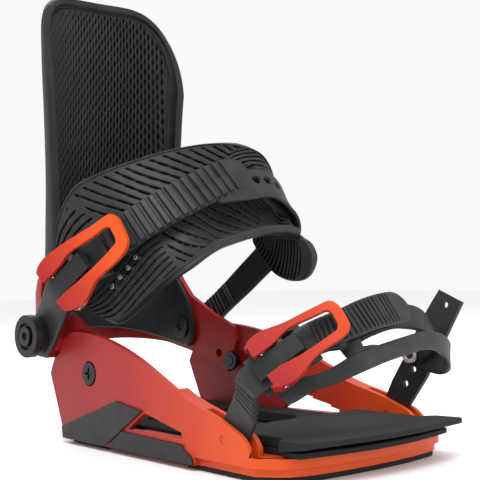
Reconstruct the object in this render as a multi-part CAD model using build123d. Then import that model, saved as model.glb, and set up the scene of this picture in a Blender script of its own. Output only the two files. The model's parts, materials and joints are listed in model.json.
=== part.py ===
from build123d import *
import math
import os

# Snowboard strap binding. Millimetres, +Z up from the board.
# Origin: centre of the mounting disc's bolt pattern, on the board. +X points to the toe,
# -Y is the outer side, where both buckles sit.

os.makedirs("parts", exist_ok=True)

# ---- driving dimensions: base ----
REAR_X = -83.0
REAR_HALF = 53.0
TAPER = 0.0536
WALL = 3.5
RAIL_WALL = 9.0
RAIL_END_X = 91.0
BUSHING = 2.6
FLOOR_TOP = 8.0
TOE_DECK_TOP = 11.0
TOE_DECK_REAR_X = 52.0
COVER_THICK = 1.4
STRIP_THICK = 1.2
RAMP_PLATE_THICK = 2.7
RAMP_PAD_THICK = 5.0
FRONT_X = 114.0
SLOT_WIDTH = 4.2
SLOT_INSET = 2.2
SLOT_START_X = 56.0
SLOT_END_X = 96.0
SLOT_FLOOR_Z = 9.0
FLOOR_REAR_X = -74.0
STEP_START_X = 50.0
STEP_HIGH = 6.4
STEP_DEEP = 2.2
ANCHOR_X = 72.0
ANCHOR_Z = 17.0
ANCHOR_R = 2.0
SCREW_X = -45.0
SCREW_Z = 40.0
SCREW_R = 3.0

# ---- mounting disc ----
DISC_R = 42.0
DISC_BOSS_R = 36.0
DISC_CLEAR = 0.06
DISC_BOTTOM = 0.6
DISC_LEDGE_Z = 5.2
DISC_TOP = 8.6
BOLT_SPACING = 40.0
BOLT_SLOT_R = 3.25
BOLT_SLOT_LENGTH = 13.0
BOLT_HEAD_R = 5.6

# ---- heel pivot ----
PIVOT_X = -87.0
PIVOT_Z = 59.5
CUP_OUT = 49.4
CUP_WALL = 3.0
BOSS_OUT = 56.2
BOSS_R = 13.0
BOSS_CLEAR = 0.4
NUT_R = 4.6
DISC_STACK_OUT = 69.5
STRAP_IN = 56.5
STRAP_THICK = 3.0
CUP_BACK_X = -130.0
CUP_EAR_Z = 96.0
CUP_BACK_Z = 84.0
CUP_CORNER_R = 28.0

# ---- highback ----
SHELL = 3.0
HIGHBACK_TOP = 264.0

# ---- straps and buckles ----
ANKLE_LADDER_WIDTH = 21.0
TOE_LADDER_WIDTH = 14.5
LADDER_THICK = 3.0
PAD_THICK = 4.5
PIN_R = 1.5
PIN_CLEAR = 0.05
PAWL_PIN_R = 1.2
SCREW_CLEAR = 0.1
STRAP_SCREW_R = 2.5


def save(shape, name):
    export_step(shape, f"parts/{name}.step")


def outer_half(x):
    """Half width over the side walls at x."""
    return REAR_HALF + (x - REAR_X) * TAPER


def side_plane(side, inset=0.0):
    """Plane of a side wall's face: local x is X along the taper, local y is up."""
    origin = (0, side * (outer_half(0) - inset), 0)
    if side < 0:
        return Plane(origin=origin, x_dir=(1, -TAPER, 0), z_dir=(-TAPER, -1, 0))
    return Plane(origin=origin, x_dir=(1, TAPER, 0), z_dir=(TAPER, -1, 0))


def side_plate(points, side, inset, thickness):
    """A plate along one side wall from an outline in X and Z, inset from the wall's outer face."""
    face = side_plane(side, inset) * make_face(Polyline(*points, close=True))
    inward = Vector(0, -side, 0)
    return extrude(face, amount=thickness, dir=inward)


def curved_side_plate(top, straight, side, thickness):
    """A plate along one side wall: a smooth top edge, closed by straight edges."""
    curve = Spline(*top)
    runs = Polyline(top[-1], *straight, top[0])
    face = side_plane(side) * make_face([curve, runs])
    return extrude(face, amount=thickness, dir=Vector(0, -side, 0))


def y_cylinder(radius, x, z, y_from, y_to):
    height = abs(y_to - y_from)
    middle = (y_from + y_to) / 2
    return Pos(x, middle, z) * Rot(90, 0, 0) * Cylinder(radius, height)


def plan_face(points):
    return make_face(Polyline(*points, close=True))


def smooth_outline(points):
    """Face whose edge is a smooth curve through the points, closed by a straight hinge end."""
    curve = Spline(*points)
    return make_face([curve, Line(curve @ 1, curve @ 0)])


# ---------------------------------------------------------------- base
WALL_REAR = [(34, BUSHING), (-73, BUSHING), (-76, 10)]
WALL_TOP = [(-88, 37.5), (-83.5, 46), (-76, 55), (-66, 61), (-52, 62), (-32, 59.8), (-7.5, 53.8)]
WALL_TOP += [(7.5, 48.6), (22.5, 42.2), (34, 37.3)]
RAIL_TOP = [(34, 37.3), (45.5, 33), (57, 29.8), (68, 27), (80, 22.6), (87, 19.2), (91, 14)]
WINDOW = [(-7, 14), (8, 23.5), (40, 17), (40, 14)]


def floor_face(inset=0.0):
    """Plan of the base, drawn in by an inset: straight tapered sides and a curved toe edge."""
    rear_x = FLOOR_REAR_X + inset
    rear = outer_half(FLOOR_REAR_X) - 1 - inset
    rail = outer_half(RAIL_END_X) - inset
    corner = 0.7 * inset
    right = [(RAIL_END_X, -rail), (97 - corner, corner - 59.5), (104 - corner, corner - 54.5)]
    right += [(109.5 - corner, corner - 44), (113 - inset, -24), (FRONT_X - inset, 0)]
    front = right + [(x, -y) for x, y in reversed(right[:-1])]
    curve = Spline(*front, tangents=((1, -0.1), (-1, -0.1)))
    sides = Polyline(front[-1], (rear_x, rear), (rear_x, -rear), front[0])
    return make_face([curve, sides])


def make_baseplate():
    floor = extrude(floor_face(), FLOOR_TOP - BUSHING)
    body = Pos(0, 0, BUSHING) * floor
    front_cut = Pos(TOE_DECK_REAR_X + 50, 0, 0) * Box(100, 200, 100)
    deck = extrude(floor_face(), TOE_DECK_TOP - BUSHING) & front_cut
    body += Pos(0, 0, BUSHING) * deck
    for side in (-1, 1):
        body += curved_side_plate(WALL_TOP, WALL_REAR, side, WALL)
        body += curved_side_plate(RAIL_TOP, [(RAIL_END_X, BUSHING), (34, BUSHING)], side, RAIL_WALL)
        # gusset that thickens the wall into the rail
        gusset = [(0, BUSHING), (0, 13), (34, 30), (34, BUSHING)]
        body += side_plate(gusset, side, 0, RAIL_WALL - 3)
        body -= side_plate(WINDOW, side, -1, 20)
        slot = [(SLOT_START_X, 40), (SLOT_START_X + 4, SLOT_FLOOR_Z)]
        slot += [(SLOT_END_X, SLOT_FLOOR_Z), (SLOT_END_X, 40)]
        body -= side_plate(slot, side, SLOT_INSET, SLOT_WIDTH)
    body -= Pos(0, 0, 20) * Cylinder(DISC_BOSS_R + DISC_CLEAR, 60)
    body -= Pos(0, 0, DISC_LEDGE_Z + 10) * Cylinder(DISC_R + DISC_CLEAR, 20)
    for side in (-1, 1):
        body -= y_cylinder(ANCHOR_R + PIN_CLEAR, ANCHOR_X, ANCHOR_Z, side * 40, side * 75)
        body -= y_cylinder(SCREW_R + SCREW_CLEAR, SCREW_X, SCREW_Z, side * 40, side * 70)
        body -= y_cylinder(BOSS_R + BOSS_CLEAR, PIVOT_X, PIVOT_Z, side * 40, side * 75)
        body -= side_recess(side)
    return body - toe_step()


def toe_step():
    """The step under the rim, that runs along the rails and round the toe edge of the base."""
    ring = extrude(floor_face(-4.0), STEP_HIGH) - extrude(floor_face(STEP_DEEP), STEP_HIGH)
    return ring & (Pos(STEP_START_X + 50, 0, 0) * Box(100, 200, 60))


def side_recess(side):
    """Shallow round recess for the heelcup screw's head."""
    face = outer_half(SCREW_X)
    return y_cylinder(6.8, SCREW_X, SCREW_Z, side * (face - 1.6), side * (face + 6))


def make_bushing(front):
    outline = extrude(floor_face(STEP_DEEP + 1.0), BUSHING)
    ring = Cylinder(DISC_R + 4, 40)
    if front:
        keep = Pos(90, 0, 0) * Box(100, 200, 40)
    else:
        keep = Pos(-80, 0, 0) * Box(90, 200, 40)
    return (outline & keep) - ring


def make_corner_cover(side):
    points = [(-74, 9), (-17.5, 27.5), (7, 24.5), (-27, 4), (-33, BUSHING), (-73, BUSHING)]
    return side_plate(points, side, -COVER_THICK, COVER_THICK)


def make_side_strip(side):
    points = [(-25, 3.5), (-12, 12.5), (41, 11.5), (43, 9), (49, 6), (50, BUSHING), (-26, BUSHING)]
    return side_plate(points, side, -STRIP_THICK, STRIP_THICK)


def make_mounting_disc():
    boss = Pos(0, 0, DISC_BOTTOM) * extrude(Circle(DISC_BOSS_R), DISC_LEDGE_Z - DISC_BOTTOM)
    flange = Pos(0, 0, DISC_LEDGE_Z) * extrude(Circle(DISC_R), DISC_TOP - DISC_LEDGE_Z)
    disc = boss + flange
    half = BOLT_SPACING / 2
    for x in (-half, half):
        for y in (-half, half):
            slot = SlotOverall(BOLT_SLOT_LENGTH, 2 * BOLT_SLOT_R)
            head = SlotOverall(BOLT_SLOT_LENGTH + 4, 2 * BOLT_HEAD_R)
            disc -= Pos(x, y, -1) * extrude(slot, 20)
            disc -= Pos(x, y, DISC_LEDGE_Z) * extrude(head, 20)
    disc -= Pos(0, 0, DISC_TOP - 1.2) * extrude(Circle(9), 5)
    return disc


def make_heel_pad():
    inner = outer_half(-60) - WALL - CUP_WALL - 1.2
    front_in = outer_half(20) - RAIL_WALL
    outline = [(-70, -inner), (30, -front_in), (48, -front_in), (48, front_in), (30, front_in), (-70, inner)]
    pad = Pos(0, 0, DISC_TOP + 0.3) * extrude(plan_face(outline), 6.0)
    opening = extrude(RectangleRounded(68, 64, 14), 40)
    return pad - opening


def ramp_face(front_x, half_rear, half_front, tip):
    """Plan of the toe ramp: narrow between the rails, wide and curved at the toe."""
    edge = [(tip, -half_front), (front_x - 2, -half_front / 2), (front_x, 0)]
    curve = Spline(*edge, (front_x - 2, half_front / 2), (tip, half_front))
    left = [(103, half_front), (97, half_rear), (56, half_rear)]
    right = [(56, -half_rear), (97, -half_rear), (103, -half_front)]
    return make_face([curve, Polyline((tip, half_front), *left, *right, (tip, -half_front))])


def make_ramp_plate():
    return Pos(0, 0, TOE_DECK_TOP + 0.3) * extrude(ramp_face(119, 48.5, 52, 112), RAMP_PLATE_THICK)


def make_ramp_pad():
    low = TOE_DECK_TOP + 0.3 + RAMP_PLATE_THICK
    return Pos(0, 0, low) * extrude(ramp_face(127, 48.0, 55.5, 119), RAMP_PAD_THICK)


def cup_ring(outer_out, wall):
    """Plan of the heel loop: two arms that follow the side walls, joined round the heel."""
    def arm(x, inset):
        return outer_half(x) - REAR_HALF + outer_out - inset
    shapes = []
    for inset in (0, wall):
        front = -40 + inset * 0.01
        back = CUP_BACK_X + inset
        right = [(front, -arm(front, inset)), (-95, -arm(-95, inset)), (back, -arm(-95, inset))]
        outline = right + [(x, -y) for x, y in reversed(right)]
        face = plan_face(outline)
        corners = face.vertices().sort_by(Axis.X)[:2]
        shapes.append(fillet(corners, CUP_CORNER_R - inset))
    return shapes


def make_heelcup():
    outer, inner = cup_ring(CUP_OUT, CUP_WALL)
    ring = extrude(outer, 110) - extrude(Pos(0.5, 0, 0) * inner, 110)
    side = [(-50, 33), (-84, 45), (-104, 49), (CUP_BACK_X - 2, 53), (CUP_BACK_X - 2, CUP_BACK_Z)]
    side += [(-113, CUP_BACK_Z + 0.5), (-108, 91), (-101, CUP_EAR_Z), (-95, 95), (-90, 88)]
    side += [(-82, 79), (-62, 68), (-44, 60.5), (-42, 52)]
    profile = Plane.XZ * make_face(Polyline(*side, close=True))
    cup = ring & extrude(profile, amount=100, both=True)
    # upright slots in the ears of the loop
    slot = Pos(-101, 0, 84) * Rot(90, 0, 0) * Rot(0, 0, 82) * SlotOverall(15, 4.5)
    cup -= extrude(slot, amount=100, both=True)
    for s in (-1, 1):
        cup += y_cylinder(BOSS_R, PIVOT_X, PIVOT_Z, s * (CUP_OUT - 1.5), s * BOSS_OUT)
        cup -= y_cylinder(NUT_R + 0.05, PIVOT_X, PIVOT_Z, s * 40, s * 60)
        cup -= y_cylinder(SCREW_R + SCREW_CLEAR, SCREW_X, SCREW_Z, s * 40, s * 60)
        cup -= y_cylinder(2.6, SCREW_X - 12, SCREW_Z + 4, s * 40, s * 60)
        cup -= y_cylinder(3.6, -80, 48.5, s * 47.5, s * 60)
    return cup


def make_heelcup_screws():
    screws = []
    for side in (-1, 1):
        face = outer_half(SCREW_X)
        head = y_cylinder(6.0, SCREW_X, SCREW_Z, side * (face - 1.6), side * (face + 0.6))
        shank = y_cylinder(SCREW_R, SCREW_X, SCREW_Z, side * (face - 1.6), side * (CUP_OUT - CUP_WALL - 1.0))
        cross = Pos(SCREW_X, side * (face + 0.6), SCREW_Z) * Box(6.5, 2.2, 1.4)
        cross += Pos(SCREW_X, side * (face + 0.6), SCREW_Z) * Box(1.4, 2.2, 6.5)
        screws.append(head + shank - cross)
    return Compound(screws)


def make_heelcup_nuts():
    nuts = []
    for side in (-1, 1):
        inner = CUP_OUT - CUP_WALL + (SCREW_X - REAR_X) * TAPER
        nut = y_cylinder(5.5, SCREW_X, SCREW_Z, side * (inner - 2.6), side * (inner - 0.35))
        nut -= y_cylinder(3.02, SCREW_X, SCREW_Z, side * 30, side * 60)
        nuts.append(nut)
    return Compound(nuts)


# ---------------------------------------------------------------- heel pivots
def make_strap_discs():
    """A flanged washer outside the strap on each side, with the barrel the strap turns on."""
    discs = []
    for side in (-1, 1):
        strap_out = STRAP_IN + STRAP_THICK
        barrel = y_cylinder(6.0, PIVOT_X, PIVOT_Z, side * BOSS_OUT, side * (strap_out + 0.2))
        collar = y_cylinder(10.5, PIVOT_X, PIVOT_Z, side * (strap_out + 0.2), side * 64.5)
        rim = y_cylinder(12.0, PIVOT_X, PIVOT_Z, side * 64.5, side * DISC_STACK_OUT)
        recess = y_cylinder(7.6, PIVOT_X, PIVOT_Z, side * 67.5, side * 80)
        bore = y_cylinder(3.05, PIVOT_X, PIVOT_Z, side * 50, side * 80)
        discs.append(barrel + collar + rim - recess - bore)
    return Compound(discs)


def make_pivot_screws():
    screws = []
    for side in (-1, 1):
        shank = y_cylinder(3.0, PIVOT_X, PIVOT_Z, side * 47.0, side * 67.5)
        head = y_cylinder(5.6, PIVOT_X, PIVOT_Z, side * 67.5, side * 70.3)
        socket = y_cylinder(2.3, PIVOT_X, PIVOT_Z, side * 68.5, side * 75)
        screws.append(shank + head - socket)
    return Compound(screws)


def make_pivot_nuts():
    """The barrel nut that the highback wing turns on, with a flange inside the wing."""
    nuts = []
    for side in (-1, 1):
        barrel = y_cylinder(NUT_R, PIVOT_X, PIVOT_Z, side * 42.6, side * 52)
        flange = y_cylinder(7.0, PIVOT_X, PIVOT_Z, side * 41.2, side * 42.6)
        bore = y_cylinder(3.02, PIVOT_X, PIVOT_Z, side * 43.5, side * 60)
        socket = y_cylinder(2.4, PIVOT_X, PIVOT_Z, side * 35, side * 43.5)
        nuts.append(barrel + flange - bore - socket)
    return Compound(nuts)


def make_anchor_pins():
    pins = []
    for side in (-1, 1):
        out = outer_half(ANCHOR_X)
        pin = y_cylinder(ANCHOR_R, ANCHOR_X, ANCHOR_Z, side * (out - RAIL_WALL + 0.4), side * (out - 0.4))
        pins.append(pin)
    return Compound(pins)


# ---------------------------------------------------------------- highback
# height, front edge X, centre X, half width, squareness
HIGHBACK_SECTIONS = [
    (44, -72, -123.6, 45.8, 2.5),
    (70, -74, -124.6, 45.9, 2.5),
    (90, -84, -124.8, 46.0, 2.5),
    (115, -90, -123.5, 47.0, 2.4),
    (150, -91, -121.0, 47.6, 2.25),
    (190, -90, -118.5, 49.6, 2.2),
    (222, -88.5, -117.0, 51.6, 2.2),
    (268, -90, -117.0, 50.5, 2.2),
]


def curved_points(front, back, half, square, inset):
    points = []
    steps = 12
    for i in range(steps + 1):
        angle = math.pi * i / steps
        c, s = math.cos(angle), math.sin(angle)
        y = -math.copysign(abs(c) ** (2 / square), c) * (half - inset)
        x = front - abs(s) ** (2 / square) * (front - back - inset)
        points.append((x, y))
    return points


def curved_section(z, front, back, half, square, inset, thickness):
    outer = curved_points(front, back, half, square, inset)
    inner = curved_points(front, back, half, square, inset + thickness)
    outer_edge = Spline(*[(x, y, z) for x, y in outer])
    inner_edge = Spline(*[(x, y, z) for x, y in inner])
    ends = [Line(outer_edge @ 0, inner_edge @ 0), Line(outer_edge @ 1, inner_edge @ 1)]
    return make_face([outer_edge, inner_edge] + ends)


def curved_shell(inset, thickness):
    faces = [curved_section(*s, inset, thickness) for s in HIGHBACK_SECTIONS]
    return loft(faces)


def side_mask(points):
    face = Plane.XZ * make_face(Polyline(*points, close=True))
    return extrude(face, amount=90, both=True)


def rounded_front(half, low, shoulder, top):
    """Front view of the highback: straight sides, rounded shoulders and a shallow crown."""
    edge = half + 8
    crown = [(half, shoulder), (half * 0.84, top - 14), (half * 0.55, top - 4.5)]
    mirrored = [(-y, z) for y, z in reversed(crown)]
    arc = Spline(*crown, (0, top), *mirrored, tangents=((0, 1), (0, -1)))
    left = [(-half, shoulder), (-edge, shoulder), (-edge, low)]
    right = [(edge, low), (edge, shoulder), (half, shoulder)]
    sides = Polyline(*left, *right)
    face = Plane.YZ * make_face([arc, sides])
    return extrude(face, amount=-200)


def make_highback():
    shell = curved_shell(0, SHELL)
    side = [(-83, 46.5), (-76.5, 52), (-75.5, 62), (-81, 77), (-93, 91), (-80, 115), (-60, 280)]
    side += [(-140, 280), (-140, 62), (-118, 56)]
    shell &= side_mask(side)
    shell &= rounded_front(52, 10, 222, HIGHBACK_TOP)
    for s in (-1, 1):
        shell -= y_cylinder(NUT_R + PIN_CLEAR, PIVOT_X, PIVOT_Z, s * 40, s * 50)
        shell -= y_cylinder(7.4, PIVOT_X, PIVOT_Z, s * 35, s * 42.9)
    for z in (TRACK_LOW + 6, TRACK_HIGH - 6):
        shell -= Pos(-120, 0, z) * Rot(0, 90, 0) * Cylinder(2.1, 30)
    return shell


def make_highback_pad():
    pad = curved_shell(SHELL + 0.1, 2.2)
    side = [(-60, 100), (-60, 257), (-140, 257), (-140, 100)]
    pad &= side_mask(side)
    face = Plane.YZ * Pos(0, 178) * RectangleRounded(82, 156, 26)
    return pad & extrude(face, amount=-200)


TRACK_LOW = 90.0
TRACK_HIGH = 158.0
TRACK_X = -127.0
BLOCK_LOW = CUP_BACK_Z + 0.4
BLOCK_HIGH = BLOCK_LOW + 24


def make_lean_track():
    """Toothed rail on the highback's back that the forward lean block slides on."""
    rail = Pos(TRACK_X - 1.5, 0, (TRACK_LOW + TRACK_HIGH) / 2) * Box(4, 16, TRACK_HIGH - TRACK_LOW)
    foot = Pos(-121, 0, (TRACK_LOW + TRACK_HIGH) / 2) * Box(12, 8, TRACK_HIGH - TRACK_LOW)
    rail += foot
    rail -= curved_shell(-0.02, SHELL + 3)
    rail = rail.solids().sort_by(Axis.X)[0]
    for z in (TRACK_LOW + 6, TRACK_HIGH - 6):
        rail -= Pos(-125, 0, z) * Rot(0, 90, 0) * Cylinder(2.1, 30)
    return rail


def make_track_screws():
    screws = []
    for z in (TRACK_LOW + 6, TRACK_HIGH - 6):
        screws.append(Pos(TRACK_X + 1.2, 0, z) * Rot(0, 90, 0) * Cylinder(2.08, 9))
    return Compound(screws)


def make_lean_block():
    middle = (BLOCK_LOW + BLOCK_HIGH) / 2
    height = BLOCK_HIGH - BLOCK_LOW
    block = Pos(TRACK_X - 4.5, 0, middle) * Box(14, 30, height)
    channel = Pos(TRACK_X - 1.5, 0, middle) * Box(4.6, 16.6, height + 10)
    throat = Pos(-120, 0, middle) * Box(16, 8.8, height + 10)
    block -= channel + throat
    block -= Pos(TRACK_X - 9.6, 0, middle + 4) * Box(8.4, 18, height)
    block -= curved_shell(-0.4, 8)
    block -= y_cylinder(PIN_R, LEAN_PIN_X, LEAN_PIN_Z, -12.5, 12.5)
    return block.solids().sort_by(SortBy.VOLUME)[-1]


LEAN_PIN_X = -135.8
LEAN_PIN_Z = BLOCK_LOW + 8


def make_lean_pin():
    return y_cylinder(PIN_R - 0.02, LEAN_PIN_X, LEAN_PIN_Z, -12.4, 12.4)


def make_lean_lever():
    barrel = y_cylinder(3.0, LEAN_PIN_X, LEAN_PIN_Z, -8.5, 8.5)
    tab = Pos(LEAN_PIN_X - 1.2, 0, LEAN_PIN_Z + 13) * Box(3.4, 17, 26)
    lever = barrel + tab
    lever -= y_cylinder(PIN_R + PIN_CLEAR, LEAN_PIN_X, LEAN_PIN_Z, -20, 20)
    return lever


# ---------------------------------------------------------------- straps
def strap(stations, thickness):
    """A flat band through stations of (centre, width direction, width)."""
    centres = [Vector(*s[0]) for s in stations]
    faces = []
    last = len(stations) - 1
    for i, (_, across, width) in enumerate(stations):
        along = (centres[min(i + 1, last)] - centres[max(i - 1, 0)]).normalized()
        side = Vector(*across).normalized()
        side = (side - along * side.dot(along)).normalized()
        normal = side.cross(along).normalized()
        a = side * (width / 2)
        b = normal * (thickness / 2)
        c = centres[i]
        faces.append(make_face(Polyline(c - a - b, c + a - b, c + a + b, c - a + b, close=True)))
    return loft(faces, ruled=True)


def frame_at(origin, along, across):
    """Buckle frame: x along the strap to its tip, y to the heel side, z outward."""
    t = Vector(*along).normalized()
    w = Vector(*across)
    w = (w - t * w.dot(t)).normalized()
    return Plane(origin=origin, x_dir=t, z_dir=w.cross(t))


ANKLE_FRAME = frame_at((-56.4, -60.5, 87.2), (0.68, 0.33, 0.655), (0.66, 0.25, -0.71))
TOE_FRAME = frame_at((101.4, -57.2, 51.7), (0.455, 0.70, 0.545), (0.62, 0.19, -0.76))


def frame_point(frame, x, y=0.0, z=0.0):
    p = frame.from_local_coords(Vector(x, y, z))
    return (p.X, p.Y, p.Z)


ANKLE_LADDER = [
    ((-96, -58, 51.5), (0.70, 0.0, -0.71), 15),
    ((-87, -58, 59.5), (0.70, 0.0, -0.71), 24),
    ((-76.5, -58, 69), (0.70, 0.0, -0.70), 23),
    (frame_point(ANKLE_FRAME, -11), (0.66, 0.25, -0.71), ANKLE_LADDER_WIDTH),
    (frame_point(ANKLE_FRAME, 28), (0.66, 0.25, -0.71), ANKLE_LADDER_WIDTH),
    ((-24, -44.5, 115.5), (0.62, 0.22, -0.75), ANKLE_LADDER_WIDTH),
    ((-13, -29.5, 127), (0.60, 0.20, -0.77), ANKLE_LADDER_WIDTH),
    ((-7, -13.5, 136), (0.58, 0.16, -0.80), ANKLE_LADDER_WIDTH),
    ((-3.5, 3.5, 143.8), (0.56, 0.14, -0.81), ANKLE_LADDER_WIDTH),
    ((-1, 17, 149), (0.56, 0.12, -0.81), ANKLE_LADDER_WIDTH),
    ((-0.5, 22, 150.5), (0.56, 0.12, -0.81), 12),
]


def make_ankle_ladder():
    ladder = strap(ANKLE_LADDER, LADDER_THICK)
    ladder -= y_cylinder(6.0 + PIN_CLEAR, PIVOT_X, PIVOT_Z, -50, -70)
    return ladder


# rear edge, crown and front edge of the ankle pad, from the buckle end over the instep
PAD_SECTIONS = [
    ((-72, -58.6, 99), (-61, -52.9, 82), (-46.5, -48.8, 68.5)),
    ((-71, -57.2, 122), (-51, -47.8, 94), (-31.5, -42.8, 67)),
    ((-61.5, -51.8, 142.5), (-39, -41.8, 107), (-14.5, -34.8, 81)),
    ((-46.5, -44, 150), (-27.5, -37.2, 117), (2.5, -30.5, 92)),
    ((-37, -30, 156), (-16.5, -25.5, 124), (9, -24, 99)),
    ((-25, -12, 162), (-11.5, -11.5, 133), (11, -10, 107)),
    ((-15, 8, 166), (-8.5, 5.5, 140.5), (11.5, 4, 111)),
    ((-8, 24, 166), (-6, 22, 145.5), (12.5, 18, 114)),
    ((-8, 40, 159), (-3.5, 40, 139), (13, 34, 116)),
    ((-14, 50, 140), (-4, 50.5, 124), (14, 46.5, 111)),
    ((-14, 53.5, 112), (2, 53, 106), (22, 50, 100)),
    ((-6, 53, 95), (6, 52, 92), (18, 50, 89)),
]
STUDS = ((20.0, -17.5), (27.0, -17.0), (34.0, -16.5), (41.0, -15.5))


def make_ankle_pad():
    surface = Face.make_surface_from_array_of_points([list(row) for row in PAD_SECTIONS], tol=0.2)
    pad = thicken(surface, amount=PAD_THICK / 2, both=True)
    seat = Pos(8.5, 0, FLOOR_LOW + 8) * Box(37, 28, 16.1)
    return pad - make_connector_screw() - make_ankle_studs() - ANKLE_FRAME.location * seat


def make_ankle_studs():
    """Row of metal studs through the pad beside the ankle buckle."""
    studs = [Pos(x, y, -5.6) * Cylinder(1.3, 7) for x, y in STUDS]
    return ANKLE_FRAME.location * Compound(studs)


CONNECTOR = [
    ((-95, 58, 54), (0.57, 0, -0.82), 14),
    ((-87, 58, 59.5), (0.57, 0, -0.82), 22),
    ((-76, 58, 67), (0.57, 0, -0.82), 18),
    ((-40, 59.3, 92), (0.57, 0, -0.82), 18),
    ((-12, 59.3, 111.5), (0.57, 0, -0.82), 18),
    ((-6, 59.2, 116), (0.57, 0, -0.82), 10),
]


def make_connector():
    band = strap(CONNECTOR, STRAP_THICK)
    band -= y_cylinder(6.0 + PIN_CLEAR, PIVOT_X, PIVOT_Z, 50, 70)
    band -= y_cylinder(STRAP_SCREW_R + PIN_CLEAR, CONNECTOR_SCREW[0], CONNECTOR_SCREW[1], 50, 70)
    return band


CONNECTOR_SCREW = (-12.0, 111.5)


def make_connector_screw():
    x, z = CONNECTOR_SCREW
    shank = y_cylinder(STRAP_SCREW_R, x, z, 50.6, 60.8)
    head = y_cylinder(4.6, x, z, 60.8, 62.8)
    spacer = y_cylinder(4.6, x, z, 54.5, 57.7)
    flange = y_cylinder(5.0, x, z, 49.6, 51.0)
    socket = y_cylinder(1.6, x, z, 61.6, 66)
    return shank + head + spacer + flange - socket


# ---------------------------------------------------------------- buckles
class BuckleSize:
    """Outlines and widths of one ratchet buckle, in its own frame."""

    def __init__(self, ladder_width, outer, inner, pawl_half, pawl_rear, pawl_front, base_front):
        self.ear_in = ladder_width / 2 + 0.6
        self.ear_out = self.ear_in + 1.8
        self.arm_in = self.ear_out + 0.3
        self.outer = outer
        self.inner = inner
        self.pawl_half = pawl_half
        self.pawl_rear = pawl_rear
        self.pawl_front = pawl_front
        self.base_front = base_front


# outlines of the levers, from the hinge end of the heel-side arm round the tip and back
ANKLE_BUCKLE = BuckleSize(
    ANKLE_LADDER_WIDTH,
    outer=[(-6, 8.5), (-4.5, 14), (2, 16.5), (9, 16), (24, 13), (38, 9.3), (47, 7.6), (50, 6.4), (51.4, 4),
           (51, -3), (49.8, -8), (48.6, -11.2), (46, -13.6), (42, -14.8), (30, -14.8), (20, -14.8),
           (16, -16), (10, -18.2), (3, -17.8), (-4, -14), (-6, -8.5)],
    inner=[(-7, 6.6), (2, 6.6), (10, 7), (16, 8), (26, 6.4), (38, 4), (43.4, 2.9), (45, 1.6), (44.9, -2),
           (44.3, -5.4), (43, -7.3), (40, -8), (28, -8.2), (12, -7.4), (3, -6.6), (-7, -6.6)],
    pawl_half=5.5,
    pawl_rear=-8.5,
    pawl_front=22.0,
    base_front=26.0,
)
TOE_BUCKLE = BuckleSize(
    TOE_LADDER_WIDTH,
    outer=[(-7.5, 6), (-5.5, 11), (-1, 12.8), (5, 12.6), (12, 10.6), (24, 8.6), (33, 7.2), (36.3, 6.2),
           (37.8, 4.2), (38.4, -1), (37.8, -5.5), (36.6, -8.6), (34, -10), (30, -10.4), (16, -10.6),
           (10, -12.4), (4, -13.6), (-2, -12.8), (-6, -10.6), (-7.5, -6)],
    inner=[(-8, 4.9), (2, 4.9), (8, 5.6), (13, 6.6), (24, 5.2), (31, 4), (33, 3.3), (33.8, 1.5),
           (33.5, -2), (32.9, -4.6), (31.6, -6.1), (29, -6.5), (20, -6.5), (11, -6), (3, -4.9), (-8, -4.9)],
    pawl_half=4.3,
    pawl_rear=-8.0,
    pawl_front=16.5,
    base_front=21.0,
)
LEVER_PIN_Z = 5.6
PAWL_PIN_Z = 5.2
EAR_TOP = 8.3
PLATE_LOW = 8.7
PLATE_HIGH = 11.8
FLOOR_LOW = -3.6
FLOOR_HIGH = -1.9
ARM_WALL = 2.6


def local_y_cylinder(radius, x, z, half):
    return Pos(x, 0, z) * Rot(90, 0, 0) * Cylinder(radius, 2 * half)


def pawl_pin_x(size):
    return size.pawl_front - 8.0


def make_buckle_base(size, frame):
    """Channel that carries the ladder: a floor, and two ears with the lever and pawl pins."""
    rear = size.pawl_rear - 1.0
    length = size.base_front - rear
    middle = (size.base_front + rear) / 2
    floor_z = (FLOOR_LOW + FLOOR_HIGH) / 2
    base = Pos(middle, 0, floor_z) * Box(length, 2 * size.ear_out, FLOOR_HIGH - FLOOR_LOW)
    ear = [(-3, FLOOR_LOW), (-3, 6.4), (-1.4, EAR_TOP), (pawl_pin_x(size) + 3, EAR_TOP)]
    ear += [(size.base_front, FLOOR_LOW)]
    for s in (-1, 1):
        y = s * (size.ear_in + size.ear_out) / 2
        face = Plane.XZ * make_face(Polyline(*ear, close=True))
        base += Pos(0, y, 0) * extrude(face, amount=0.9, both=True)
    base -= local_y_cylinder(PIN_R + PIN_CLEAR, 0, LEVER_PIN_Z, 40)
    base -= local_y_cylinder(PAWL_PIN_R, pawl_pin_x(size), PAWL_PIN_Z, 40)
    return frame.location * base


def make_buckle_lever(size, frame):
    """Loop lever: a flat ring over the buckle, with two side plates down to the pin."""
    outline = smooth_outline(size.outer)
    window = smooth_outline(size.inner)
    ring = Pos(0, 0, PLATE_LOW) * extrude(outline - window, PLATE_HIGH - PLATE_LOW)
    # behind the pin the ring stays short, so that it clears the ears as the lever lifts
    rear_gap = Pos(-10, 0, PLATE_LOW) * Box(10, 2 * size.arm_in, 30)
    end_gap = Pos(-5, 0, PLATE_LOW) * Box(12, 2 * size.inner[0][1], 30)
    lever = ring - rear_gap - end_gap
    side = [(-6, 4), (-2.5, 1.2), (3, 0.8), (9, 4), (15, PLATE_LOW + 0.5), (-6, PLATE_LOW + 0.5)]
    for s in (-1, 1):
        y = s * (size.arm_in + ARM_WALL / 2)
        face = Plane.XZ * make_face(Polyline(*side, close=True))
        plate = Pos(0, y, 0) * extrude(face, amount=ARM_WALL / 2, both=True)
        lever += plate & extrude(outline, 30)
    lever -= local_y_cylinder(PIN_R + PIN_CLEAR, 0, LEVER_PIN_Z, 40)
    return frame.location * lever


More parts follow.
